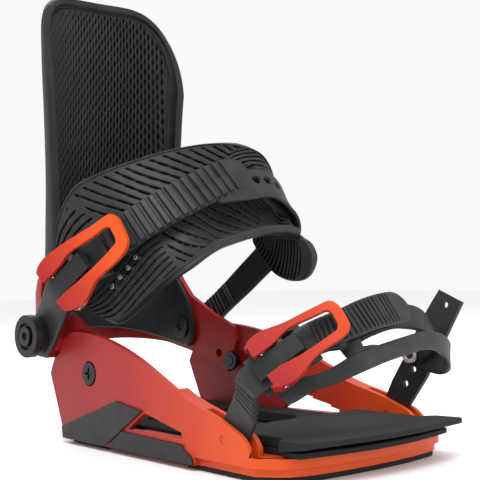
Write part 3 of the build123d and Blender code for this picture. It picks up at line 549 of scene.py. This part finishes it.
# ---------------------------------------------------------------- ankle pad
# the pad's rear edge, crown and front edge, from the buckle end over the instep
PAD_SECTIONS = [
    ((-72, -58.6, 99), (-61, -52.9, 82), (-46.5, -48.8, 68.5)),
    ((-71, -57.2, 122), (-51, -47.8, 94), (-31.5, -42.8, 67)),
    ((-61.5, -51.8, 142.5), (-39, -41.8, 107), (-14.5, -34.8, 81)),
    ((-46.5, -44, 150), (-27.5, -37.2, 117), (2.5, -30.5, 92)),
    ((-37, -30, 156), (-16.5, -25.5, 124), (9, -24, 99)),
    ((-25, -12, 162), (-11.5, -11.5, 133), (11, -10, 107)),
    ((-15, 8, 166), (-8.5, 5.5, 140.5), (11.5, 4, 111)),
    ((-8, 24, 166), (-6, 22, 145.5), (12.5, 18, 114)),
    ((-8, 40, 159), (-2, 41, 139), (13.5, 36, 116.5)),
    ((-13, 52.5, 141), (0.5, 53, 127), (15.5, 48.5, 115)),
    ((-18, 53.0, 118), (-3, 53, 112), (11, 51, 109.5)),
]
PAD_TAB = [
    ((-26, 51.6, 114), (-0.5, 0, -0.86), 5),
    ((-19.5, 51.8, 110), (-0.4, 0, -0.92), 12),
    ((-12.5, 51.8, 106.4), (-0.3, 0, -0.95), 18.5),
    ((-3.5, 51.6, 102.8), (-0.2, 0, -0.98), 25),
    ((5.5, 51.3, 101.3), (-0.1, 0, -1.0), 27.5),
    ((13.8, 50.8, 100.3), (0.0, 0, -1.0), 25),
    ((20.5, 50.2, 100.7), (0.0, 0, -1.0), 19),
    ((25, 49.6, 101), (0.0, 0, -1.0), 14),
]
TAB_PITCH = 2.75
TAB_RIM, TAB_RIB, TAB_SUNK = 0.4, 1.1, 0.4
PAD_ALONG = 620
PAD_ACROSS = 190
PAD_END = 0.10
PAD_HALF_THICK = 2.2
PAD_BEAD, PAD_GROOVE, PAD_DRAIN, PAD_SUNK = 1.1, 1.25, 0.9, 0.55
PAD_INNER_RIBS, PAD_INNER_RIB = 40, 1.3
FRONT_HOLLOW, FAR_HOLLOW = 4.4, 5.0
# how many grooves each field has along the whole pad and across half its width
REAR_LOBE, REAR_FIELD, FAR_REAR_FIELD = (9.0, -9.0), (29.0, -5.4), (29.0, 7.5)
FRONT_LOBE, FRONT_FIELD = (7.0, 9.5), (25.0, -1.8)


def pad_grid():
    """The pad's middle surface: its points, u (0 to 1 along), v (-1 rear to 1 front) and w.

    w is v drawn in where the pad's ends are rounded.
    """
    rows = [[*crown, *rear, *front] for rear, crown, front in PAD_SECTIONS]
    data, place = smooth_rows(rows, PAD_ALONG)
    crown, rear, front = data[:, :3], data[:, 3:6], data[:, 6:9]
    u = place / place[-1]
    reach = 1.0
    for end, power in ((u, 2.6), (1 - u, 2.4)):
        share = np.clip(end / PAD_END, 0, 1)
        reach = reach * np.sqrt(np.clip(1 - (1 - share) ** power, 0.02, 1))
    even = np.linspace(-1, 1, PAD_ACROSS)
    v = 0.35 * np.sin(even * math.pi / 2 * 0.999) + 0.65 * even
    grid_u, grid_v = np.meshgrid(u, v, indexing="ij")
    w = grid_v * reach[:, None]
    weights = [w * (w - 1) / 2, 1 - w * w, w * (w + 1) / 2]
    points = sum(k[..., None] * part[:, None] for k, part in zip(weights, (rear, crown, front)))
    return points, grid_u, grid_v, w


def grooves(phase, width=0.10):
    """1 inside a groove, 0 on the bars between grooves, for a phase that counts grooves."""
    return 1 - smoothstep(np.abs(phase % 1.0 - 0.5), width * 0.6, width * 1.5)


def pad_relief(u, w):
    """Bead round the rim, and slanted channels with drain slots either side of the ladder."""
    def counted(field, sideways=w):
        return u * field[0] + sideways * field[1]

    edge = np.minimum(1 - np.abs(w), np.minimum(u, 1 - u) * 5.0)
    bead = PAD_BEAD * (1 - smoothstep(edge, 0.035, 0.06))
    inside = smoothstep(edge, 0.085, 0.105)
    behind = w < 0
    rear_seam = 0.15 + 0.13 * (1 + w)
    front_seam = 0.36 - 0.04 * w
    rear = np.where(u > 0.60 - 0.10 * w, counted(FAR_REAR_FIELD), counted(REAR_FIELD))
    rear = np.where(u < rear_seam, counted(REAR_LOBE), rear)
    fan = 1.6 + 5.0 * np.clip(u - 0.40, 0, 1)
    front = np.where(u < front_seam, counted(FRONT_LOBE), counted(FRONT_FIELD, w * fan))
    phase = np.where(behind, rear, front)
    off_ladder = np.where(behind, smoothstep(-w, 0.13, 0.16), smoothstep(w, 0.07, 0.10))
    seam = np.where(behind, rear_seam, front_seam)
    divide = smoothstep(np.abs(u - seam), 0.008, 0.013)
    drains = np.where(behind, -w * 6.5, w * 8.0 + u * 3.0)
    drains = np.where(u < seam, u * 26.0, drains)
    slot = grooves(phase, 0.13) * smoothstep(np.abs(drains % 1.0 - 0.5), 0.16, 0.22)
    return bead - inside * off_ladder * divide * (PAD_GROOVE * grooves(phase) + PAD_DRAIN * slot)


def pad_hollow(u, w):
    """How far the front half sinks below the plain curve, so that the ladder stands over it."""
    bow = np.sin(math.pi * np.clip(w, 0, 1)) ** 0.5
    front = FRONT_HOLLOW * smoothstep(u, 0.14, 0.40) * (1 - smoothstep(u, 0.90, 1.0)) * bow
    far = FAR_HOLLOW * smoothstep(u, 0.42, 0.58) * (1 - smoothstep(u, 0.85, 0.95))
    return front + far * smoothstep(w, -0.45, -0.15) * (1 - smoothstep(w, 0.75, 1.0))


def make_ankle_pad():
    points, u, v, w = pad_grid()
    points = points - grid_normals(points) * pad_hollow(u, w)[..., None]
    normal = grid_normals(points)
    edge = np.minimum(1 - np.abs(v), np.minimum(u, 1 - u) * 6.0)
    half = PAD_HALF_THICK * np.sqrt(np.clip(1 - (1 - np.clip(edge / 0.05, 0, 1)) ** 2, 0.02, 1))
    relief = pad_relief(u, w) * smoothstep(edge, 0.0, 0.03)
    outer = points + normal * (half + relief)[..., None]
    ribs = smoothstep(edge, 0.10, 0.14) * grooves(u * PAD_INNER_RIBS, 0.16)
    inner = points - normal * (half + 0.2 - ribs * PAD_INNER_RIB)[..., None]
    # the deepest grooves and drain slots take the black strap material as painted shade
    piece = closed_skin(
        "ankle_pad_shell", outer, inner, STRAP, "ankle_strap", ["ankle_pad"],
        sunk=(relief < -PAD_SUNK, None),
    )


def tab_relief(s, a, length):
    """A broad rim round the tab, and bowed ribs across it."""
    rim = np.maximum(smoothstep(-a, 0.70, 0.76), smoothstep(a, 0.90, 0.94))
    rim = np.maximum(rim, smoothstep(s + 5.0 * a**2, length - 10.0, length - 9.0))
    return TAB_RIM * rim - TAB_RIB * grooves((s + 2.0 * a**2) / TAB_PITCH, 0.26) * (1 - rim)


def tab_sunk(s, a, length):
    return tab_relief(s, a, length) < -TAB_SUNK


def make_pad_tab():
    """The pad's far wing, that turns forward under the strap and shows its ribbed inner face."""
    # the grooves between the tab's ribs take the near-black painted shade
    band(
        "ankle_pad_tab", PAD_TAB, TAB_THICK, "ankle_strap", STRAP, steps=300, across=91,
        relief=tab_relief, round_ends=(2.0, 7.0), sunk=tab_sunk, shade_material=GROOVE_SHADE_PAINT,
    )


# ---------------------------------------------------------------- far straps
CONNECTOR = [
    ((-95, 58, 54), (0.57, 0, -0.82), 20),
    ((-87, 58, 59.5), (0.57, 0, -0.82), 22),
    ((-76, 58, 67), (0.57, 0, -0.82), 18),
    ((-40, 59.3, 92), (0.57, 0, -0.82), 18),
    ((-12, 59.3, 111.5), (0.57, 0, -0.82), 18),
    ((-6, 59.2, 116), (0.57, 0, -0.82), 17),
]
CARRIER = [
    ((-2, -2, 137), (0.50, 0.1, -0.86), 15),
    ((3.3, 12, 139.7), (0.50, 0.1, -0.86), 17),
    ((3.8, 19, 141.2), (0.50, 0.1, -0.86), 18.5),
    ((3, 27, 142.8), (0.50, 0.1, -0.86), 19),
    ((3.3, 36, 142.5), (0.50, 0.0, -0.86), 19),
    ((3, 44, 138.8), (0.55, -0.1, -0.82), 18),
    ((2.1, 51, 132.2), (0.65, -0.1, -0.76), 17),
    ((0.5, 56, 122.8), (0.80, 0, -0.60), 17),
    ((-4, 58.8, 115), (0.85, 0, -0.52), 17),
]
CARRIER_HOLES = (30.5, 38.5, 46.0, 54.0)
HOLE_HALF_LENGTH, HOLE_HALF_SHARE, HOLE_PLACE = 2.9, 0.26, -0.2
HOLE_DEPTH, HOLE_SUNK = 1.9, 0.7


def carrier_relief(s, a, length):
    """Long adjustment holes, sunk into the strap."""
    total = np.zeros_like(s)
    for middle in CARRIER_HOLES:
        spot = ((s - middle) / HOLE_HALF_LENGTH) ** 2 + ((a - HOLE_PLACE) / HOLE_HALF_SHARE) ** 2
        total -= HOLE_DEPTH * (1 - smoothstep(spot, 0.6, 1.1))
    return total


def carrier_sunk(s, a, length):
    return carrier_relief(s, a, length) < -HOLE_SUNK


def make_far_straps():
    band(
        "ankle_connector_strap", CONNECTOR, ANKLE_THICK, "ankle_strap", STRAP_BLACK_AND_GROOVE_SHADE,
        ["ankle_connector"], steps=360, relief=ridges(CONNECTOR_RIBS, FINE_RIB),
        round_ends=(9.0, 6.0),
    )
    # the floors of the shallow holes take the near-black painted shade
    band(
        "ankle_carrier_strap", CARRIER, BAND_THICK, "ankle_strap", STRAP,
        steps=240, across=61, relief=carrier_relief, round_ends=(4.0, 4.0), sunk=carrier_sunk,
        shade_material=GROOVE_SHADE_PAINT,
    )


# ---------------------------------------------------------------- toe strap
TOE_FRONT_BAND = [
    ((101.5, -54.4, 39.8), (0.60, 0.25, -0.76), 11),
    ((104.8, -50.7, 41.4), (0.60, 0.25, -0.76), 13),
    ((111.2, -43.6, 43.5), (0.50, 0.22, -0.84), 7.5),
    ((118.8, -34.8, 47.4), (0.35, 0.10, -0.93), 7.5),
    ((124.5, -25, 52.5), (0.20, 0.0, -0.98), 9),
    ((126, -12, 55.5), (0.10, 0.0, -1.0), 8.5),
    ((126, 4, 58), (0.05, 0.0, -1.0), 8.5),
    ((125, 18, 59.5), (0.0, 0.0, -1.0), 8.5),
    ((123.5, 30, 58.5), (0.0, -0.1, -1.0), 9),
    ((120.5, 41, 54.5), (0.0, -0.1, -1.0), 10),
    ((116, 48.5, 49), (0.1, -0.1, -1.0), 12),
    ((108, 52.3, 46.5), (0.3, 0.0, -0.95), 13),
    ((97, 53.3, 48.5), (0.5, 0.0, -0.87), 13),
    ((89, 53.3, 50), (0.5, 0.0, -0.87), 12),
]
TOE_PLATE = [
    (on_buckle(TOE, -9, -4, -5.2), TOE_SIDE, 10),
    (on_buckle(TOE, 0, -3, -5.2), TOE_SIDE, 12),
    (on_buckle(TOE, 24, -2, -5.2), TOE_SIDE, 11),
    (on_buckle(TOE, 34, -6.5, -5.6), TOE_SIDE, 11),
    ((123.5, -25, 56), (0.30, 0.05, -0.95), 9),
    ((126, -12, 57.5), (0.10, 0.0, -1.0), 6.5),
]
TOE_UPPER_BAND = [
    (on_buckle(TOE, 2, 0, -8.4), TOE_SIDE, 12),
    (on_buckle(TOE, 24, 0, -8.4), TOE_SIDE, 12),
    ((114.2, -25.2, 63.8), (0.50, 0.14, -0.86), 12),
    ((118.3, -13.2, 68.6), (0.45, 0.10, -0.88), 12),
    ((120, -2, 71.2), (0.42, 0.05, -0.90), 12),
    ((118.5, 13, 71), (0.38, 0.0, -0.92), 12.5),
    ((116, 27, 69), (0.35, 0.0, -0.94), 13),
    ((112, 40, 64), (0.40, 0.0, -0.92), 13),
    ((107, 48.8, 59), (0.5, 0.0, -0.86), 13),
    ((99, 49.9, 54), (0.6, 0.0, -0.80), 13),
    ((89, 50.1, 47.5), (0.64, 0.0, -0.77), 12),
]


def make_toe_straps():
    band(
        "toe_cap_front", TOE_FRONT_BAND, TOE_THICK, "toe_strap", STRAP, ["toe_cap"],
        steps=320, round_ends=(5.0, 5.0),
    )
    band(
        "toe_cap_plate", TOE_PLATE, BAND_THICK, "toe_strap", STRAP,
        steps=140, round_ends=(5.0, 7.0),
    )
    band(
        "toe_upper_strap", TOE_UPPER_BAND, BAND_THICK, "toe_strap", STRAP_BLACK_AND_GROOVE_SHADE,
        ["toe_upper_band"], steps=240, round_ends=(3.0, 5.0),
    )


# ---------------------------------------------------------------- highback
# height, front edge, back, half width, squareness
HIGHBACK_LEVELS = [
    (44, -84, -123.6, 45.8, 2.5),
    (52, -77.0, -124.0, 45.8, 2.5),
    (62, -75.9, -124.4, 45.8, 2.5),
    (77, -81.5, -124.7, 46.0, 2.5),
    (91, -91.5, -124.8, 46.0, 2.5),
    (115, -91.0, -123.5, 47.0, 2.4),
    (150, -91, -121.0, 47.6, 2.25),
    (190, -90, -118.5, 49.6, 2.2),
    (222, -88.5, -117.0, 51.6, 2.2),
    (268, -90, -117.0, 50.5, 2.2),
]
HIGHBACK_LOW = 47.0
SHOULDER_Z = 202.0
CROWN_RISE = 62.0
CROWN_SQUARE, CROWN_POWER = 5.0, 0.36
CROWN_WIDTH_Z = 235.0
LOW_RISE, LOW_RISE_POWER = 13.0, 1.3
SIDE_RADIUS = 42.0
HALF_WALL = 1.5
RIM_THICK = 2.2
RIM_START_Z, RIM_FULL_Z = 98.0, 116.0


def smooth_table(table, count=300):
    """The table's rows joined by smooth curves in its first column, sampled finely."""
    table = np.array(table, float)
    place = table[:, 0]
    return smooth_curve(table, place, np.linspace(place[0], place[-1], count))


HIGHBACK_CURVES = smooth_table(HIGHBACK_LEVELS)


def highback_level(z):
    """Front edge, back, half width and squareness of the highback at a height."""
    return [np.interp(z, HIGHBACK_CURVES[:, 0], HIGHBACK_CURVES[:, k]) for k in (1, 2, 3, 4)]


def highback_point(angle, z, inset):
    """Point on the highback at an angle round it and a height, inset from the outer skin."""
    front, back, half, square = highback_level(z)
    c, s = np.cos(angle), np.sin(angle)
    y = -np.sign(c) * np.abs(c) ** (2 / square) * (half - inset)
    x = front - np.abs(s) ** (2 / square) * (front - back - inset)
    return np.stack([x, y, z + 0 * x], axis=-1)


def crown_height(y, inset=0.0):
    """Height of the highback's rounded top edge at a place across it."""
    share = np.clip(np.abs(y) / np.abs(y).max(), 0, 1)
    return SHOULDER_Z + (CROWN_RISE - inset) * (1 - share**CROWN_SQUARE) ** CROWN_POWER


def make_highback():
    """The shell with its thick smooth rim, as one closed skin."""
    around, rows = 220, 260
    angle = np.linspace(0.0, math.pi, around)
    width = highback_point(angle, np.full(around, CROWN_WIDTH_Z), 0)[:, 1]
    low = HIGHBACK_LOW + LOW_RISE * np.sin(angle) ** LOW_RISE_POWER
    high = crown_height(width)
    t = np.linspace(0, 1, rows)
    z = low[:, None] + (high - low)[:, None] * t[None]
    grid = np.repeat(angle[:, None], rows, axis=1)
    side = np.minimum(grid, math.pi - grid) * SIDE_RADIUS
    edge = np.minimum(side, np.minimum(z - low[:, None], high[:, None] - z))
    rim = (1 - smoothstep(edge, 4.0, 6.5)) * smoothstep(z, RIM_START_Z, RIM_FULL_Z)
    curl = np.sqrt(np.clip(1 - (1 - np.clip(edge / 1.6, 0, 1)) ** 2, 0, 1))
    outer = highback_point(grid, z, HALF_WALL - HALF_WALL * curl)
    inner = highback_point(grid, z, HALF_WALL + (HALF_WALL + RIM_THICK * rim) * curl)
    closed_skin("highback_shell", outer, inner, HIGHBACK, "highback", ["highback"])


LINER_HALF_WIDTH, LINER_LOW, LINER_INSET = 45.0, 98.0, 6.5
LINER_TAPER_Z, LINER_TAPER = (98, 150, 222, 257), (0.92, 0.955, 1.02, 1.0)
LINER_OUTER, LINER_INNER, LINER_SIDE = 3.05, 3.1, 3.2
LINER_THICK = 1.5
LINER_PITCH, LINER_WAVE, LINER_SWAY = 2.3, 6.4, 0.36
LINER_RIB, LINER_VALLEY = 0.85, 0.35


def make_highback_pad():
    """The ribbed foam liner: wavy upright ribs that part and meet, inside a smooth border."""
    across, rows = 420, 300
    grid_y, grid_t = np.meshgrid(np.linspace(-1, 1, across), np.linspace(0, 1, rows), indexing="ij")
    top = crown_height(grid_y, LINER_INSET)
    z = LINER_LOW + (top - LINER_LOW) * grid_t
    flat_y = grid_y * LINER_HALF_WIDTH * np.interp(z, LINER_TAPER_Z, LINER_TAPER)
    half, square = highback_level(z)[2:]
    share = np.clip(np.abs(flat_y) / (half - LINER_SIDE), 0, 1)
    angle = np.arccos(-np.sign(flat_y) * share ** (square / 2))
    edge = np.minimum((1 - np.abs(grid_y)) * LINER_HALF_WIDTH, np.minimum(z - LINER_LOW, top - z))
    column = np.round(flat_y / LINER_PITCH)
    gap = np.full_like(flat_y, 9.0)
    for k in (-1, 0, 1):
        sway = LINER_SWAY * np.cos(math.pi * (column + k)) * np.sin(2 * math.pi * z / LINER_WAVE)
        gap = np.minimum(gap, np.abs(flat_y - (column + k) * LINER_PITCH - sway))
    relief = smoothstep(edge, 0.8, 1.8) * (LINER_RIB * (1 - smoothstep(gap, 0.35, 0.95)) - LINER_VALLEY)
    # the valleys between the liner's ribs take the near-black painted shade
    sunk = (gap > 0.78) & (edge > 1.2)
    outer = highback_point(angle, z, LINER_OUTER)
    inner = highback_point(angle, z, LINER_INNER + LINER_THICK * smoothstep(edge, 0.0, 1.2) + relief)
    piece = closed_skin(
        "highback_liner", outer, inner, RIBBED, "highback", ["highback_pad"],
        sunk=(None, sunk), shade_material=GROOVE_SHADE_PAINT,
    )


# ---------------------------------------------------------------- hard parts from the CAD shapes
LEVER_FADE = fading_shell("lever_fade_ankle", ANKLE_ALONG, -0.030, 0.038, 0.34)
TOE_LEVER_FADE = fading_shell("lever_fade_toe", TOE_ALONG, 0.012, 0.082, 0.34)

RAMP_LOW, RAMP_HIGH = (corner.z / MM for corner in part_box("toe_ramp_pad"))
TOE_EDGE_START, TOE_EDGE_END = 104.0, 128.0
TOE_EDGE_LIFT_BELOW, TOE_EDGE_LIFT_ABOVE = 3.0, 0.5


def thin_toe_edge(x, y, z):
    """The ramp pad thins towards the toe, where its underside lifts off the rim."""
    toe = float(smoothstep(x + 0.04 * abs(y), TOE_EDGE_START, TOE_EDGE_END))
    below = z < 0.5 * (RAMP_LOW + RAMP_HIGH)
    return x, y, z + toe * (TOE_EDGE_LIFT_BELOW if below else TOE_EDGE_LIFT_ABOVE)


# share of the pin end's radius, height in millimetres, and whether it is in the countersink, painted dark
# as shade
PIN_END_PROFILE = [
    (0.0, 0.55, False), (0.55, 0.5, False), (0.62, 0.05, False), (0.95, 0.05, True), (1.0, 0.35, True),
    (1.12, 0.1, True), (1.12, -0.6, True),
]
PIN_END_SIDES = 28
# distance of the end from the buckle's middle, and its radius
ANKLE_PIN_END, TOE_PIN_END = (15.7, 2.9), (12.4, 2.5)


def make_pin_end(name, buckle, body, across, radius):
    """Riveted pin end in a countersink, painted dark as shade, on the toe side of a lever's ear."""
    pin, forward, side, out = buckle
    count = PIN_END_SIDES
    verts, faces, deep = [], [], []
    for share, lift, dark in PIN_END_PROFILE:
        for k in range(count):
            turn = 2 * math.pi * k / count
            spot = pin + (forward * math.cos(turn) + out * math.sin(turn)) * radius * share
            verts.append((spot - side * (across + lift)) * MM)
            deep.append(dark)
    for i in range(len(PIN_END_PROFILE) - 1):
        for k in range(count):
            n = (k + 1) % count
            faces.append((i * count + k, i * count + n, (i + 1) * count + n, (i + 1) * count + k))
    add_piece(name, verts, faces, STEEL, body, (), np.array(deep), GROOVE_SHADE_PAINT)


# nodes, material, radius of the moulded edges in millimetres, slot
HARD_PARTS = [
    (["baseplate"], SHELL, 0.9, "shell_red"),
    (["heelcup"], CUP, 0.9, "shell_red"),
    (["ankle_buckle_lever"], LEVER_FADE, 1.0, "lever_red"),
    (["toe_buckle_lever"], TOE_LEVER_FADE, 0.9, "lever_red"),
    (["heel_corner_cover_outer"], TRIM, 0.4, "trim_dark"),
    (["side_strip_outer"], TRIM, 0.3, "trim_dark"),
    (["heel_corner_cover_inner"], TRIM, 0.4, "trim_dark"),
    (["side_strip_inner"], TRIM, 0.3, "trim_dark"),
    (["ankle_buckle_base", "toe_buckle_base"], BUCKLE, 0.4, "buckle_dark"),
    (["ankle_pawl", "toe_pawl"], STRAP_BLACK_AND_GROOVE_SHADE, 0.7, "buckle_dark"),
    (["lean_block", "lean_lever", "mounting_disc", "lean_track"], TRIM, 0.5, "trim_dark"),
    (["toe_ramp_plate"], EVA, 0.5, "trim_dark"),
    (["toe_ramp_pad"], EVA, 0.9, "eva_black"),
    (["footbed_heel_pad", "front_base_bushing", "rear_base_bushing"], EVA, 0.7, "eva_black"),
    (["strap_discs"], HIGHBACK, 0.5, "trim_dark"),
    (["toe_adjuster"], STRAP_BLACK_AND_GROOVE_SHADE, 0.6, "strap_grey"),
    (["heelcup_screws", "heelcup_nuts", "pivot_screws", "pivot_nuts"], STEEL_DARK, 0.3, "steel_black"),
    (["ankle_connector_screw", "toe_adjuster_screw"], STEEL_DARK, 0.3, "steel_black"),
    (["ankle_lever_pin", "toe_lever_pin", "ankle_pad_studs", "toe_adjuster_nut"], STEEL, 0.2, "steel"),
    (["toe_anchor_pins"], SHELL, 0.2, "steel"),
]
RESHAPED = {"toe_ramp_pad": thin_toe_edge}
PLAIN_STEEL = [
    "ankle_pawl_pin", "toe_pawl_pin", "ankle_pawl_spring", "toe_pawl_spring", "lean_lever_pin",
    "lean_track_screws",
]


def make_hard_parts():
    for nodes, material, radius, slot in HARD_PARTS:
        for node in nodes:
            softened(node, material, radius, RESHAPED.get(node))
    for node in PLAIN_STEEL:
        piece = frame["nodes"][node]
        piece.data.materials.clear()
        piece.data.materials.append(STEEL)


# ---------------------------------------------------------------- stage, lights and camera
FLOOR_SIZE, FLOOR_DROP, FLOOR_TONE = 6.0, 0.0002, 0.93
WORLD_STRENGTH = 0.95
LIGHT_AIM = (0, 0, 0.1)
# name, place, diameter in metres, watts
LIGHTS = [
    ("key", (0.35, -0.55, 1.05), 0.7, 9),
    ("fill", (1.1, 0.5, 0.5), 1.0, 3),
    ("rim", (-0.8, 0.3, 0.9), 0.8, 5),
]
CAMERA_AZIMUTH, CAMERA_ELEVATION, CAMERA_ROLL = 48.28, -1.55, -1.13
CAMERA_TARGET, CAMERA_DISTANCE = (0.01893, -0.00081, 0.11042), 0.57919
CAMERA_LENS, CAMERA_SENSOR, CAMERA_NEAR = 81.58, 36.0, 0.01


def make_stage():
    bpy.ops.mesh.primitive_plane_add(size=FLOOR_SIZE, location=(0, 0, -FLOOR_DROP))
    floor = bpy.context.object
    floor.name = "floor"
    nodes = Nodes("floor_pale")
    nodes.shader.inputs["Base Color"].default_value = (FLOOR_TONE, FLOOR_TONE, FLOOR_TONE, 1)
    nodes.shader.inputs["Roughness"].default_value = 0.9
    floor.data.materials.append(nodes.material)
    world = bpy.data.worlds.new("studio")
    world.use_nodes = True
    background = world.node_tree.nodes["Background"]
    background.inputs["Color"].default_value = (1, 1, 1, 1)
    background.inputs["Strength"].default_value = WORLD_STRENGTH
    bpy.context.scene.world = world


def add_light(name, place, size, power):
    light = bpy.data.lights.new(name, "AREA")
    light.shape = "DISK"
    light.size = size
    light.energy = power
    made = bpy.data.objects.new(name, light)
    bpy.context.scene.collection.objects.link(made)
    made.location = place
    made.rotation_euler = (Vector(LIGHT_AIM) - Vector(place)).to_track_quat("-Z", "Y").to_euler()


def make_camera():
    """Low three-quarter view from the toe's outer side, level with the straps."""
    azimuth, elevation, roll = map(math.radians, (CAMERA_AZIMUTH, CAMERA_ELEVATION, CAMERA_ROLL))
    level = math.cos(elevation)
    back = Vector((math.sin(azimuth) * level, -math.cos(azimuth) * level, math.sin(elevation)))
    right = Vector((math.cos(azimuth), math.sin(azimuth), 0.0))
    up = back.cross(right)
    turned = right * math.cos(roll) + up * math.sin(roll)
    up = up * math.cos(roll) - right * math.sin(roll)
    data = bpy.data.cameras.new("camera")
    data.lens = CAMERA_LENS
    data.sensor_width = CAMERA_SENSOR
    data.clip_start = CAMERA_NEAR
    made = bpy.data.objects.new("camera", data)
    bpy.context.scene.collection.objects.link(made)
    basis = Matrix((turned, up, back)).transposed().to_4x4()
    made.matrix_world = Matrix.Translation(Vector(CAMERA_TARGET) + back * CAMERA_DISTANCE) @ basis
    bpy.context.scene.camera = made


make_hard_parts()
make_pin_end("ankle_pin_end", ANKLE, "ankle_lever", *ANKLE_PIN_END)
make_pin_end("toe_pin_end", TOE, "toe_lever", *TOE_PIN_END)
make_ladders()
make_ankle_pad()
make_pad_tab()
make_far_straps()
make_toe_straps()
make_highback()
make_highback_pad()
make_stage()
for light_row in LIGHTS:
    add_light(*light_row)
bpy.context.scene.view_settings.view_transform = "Standard"
make_camera()
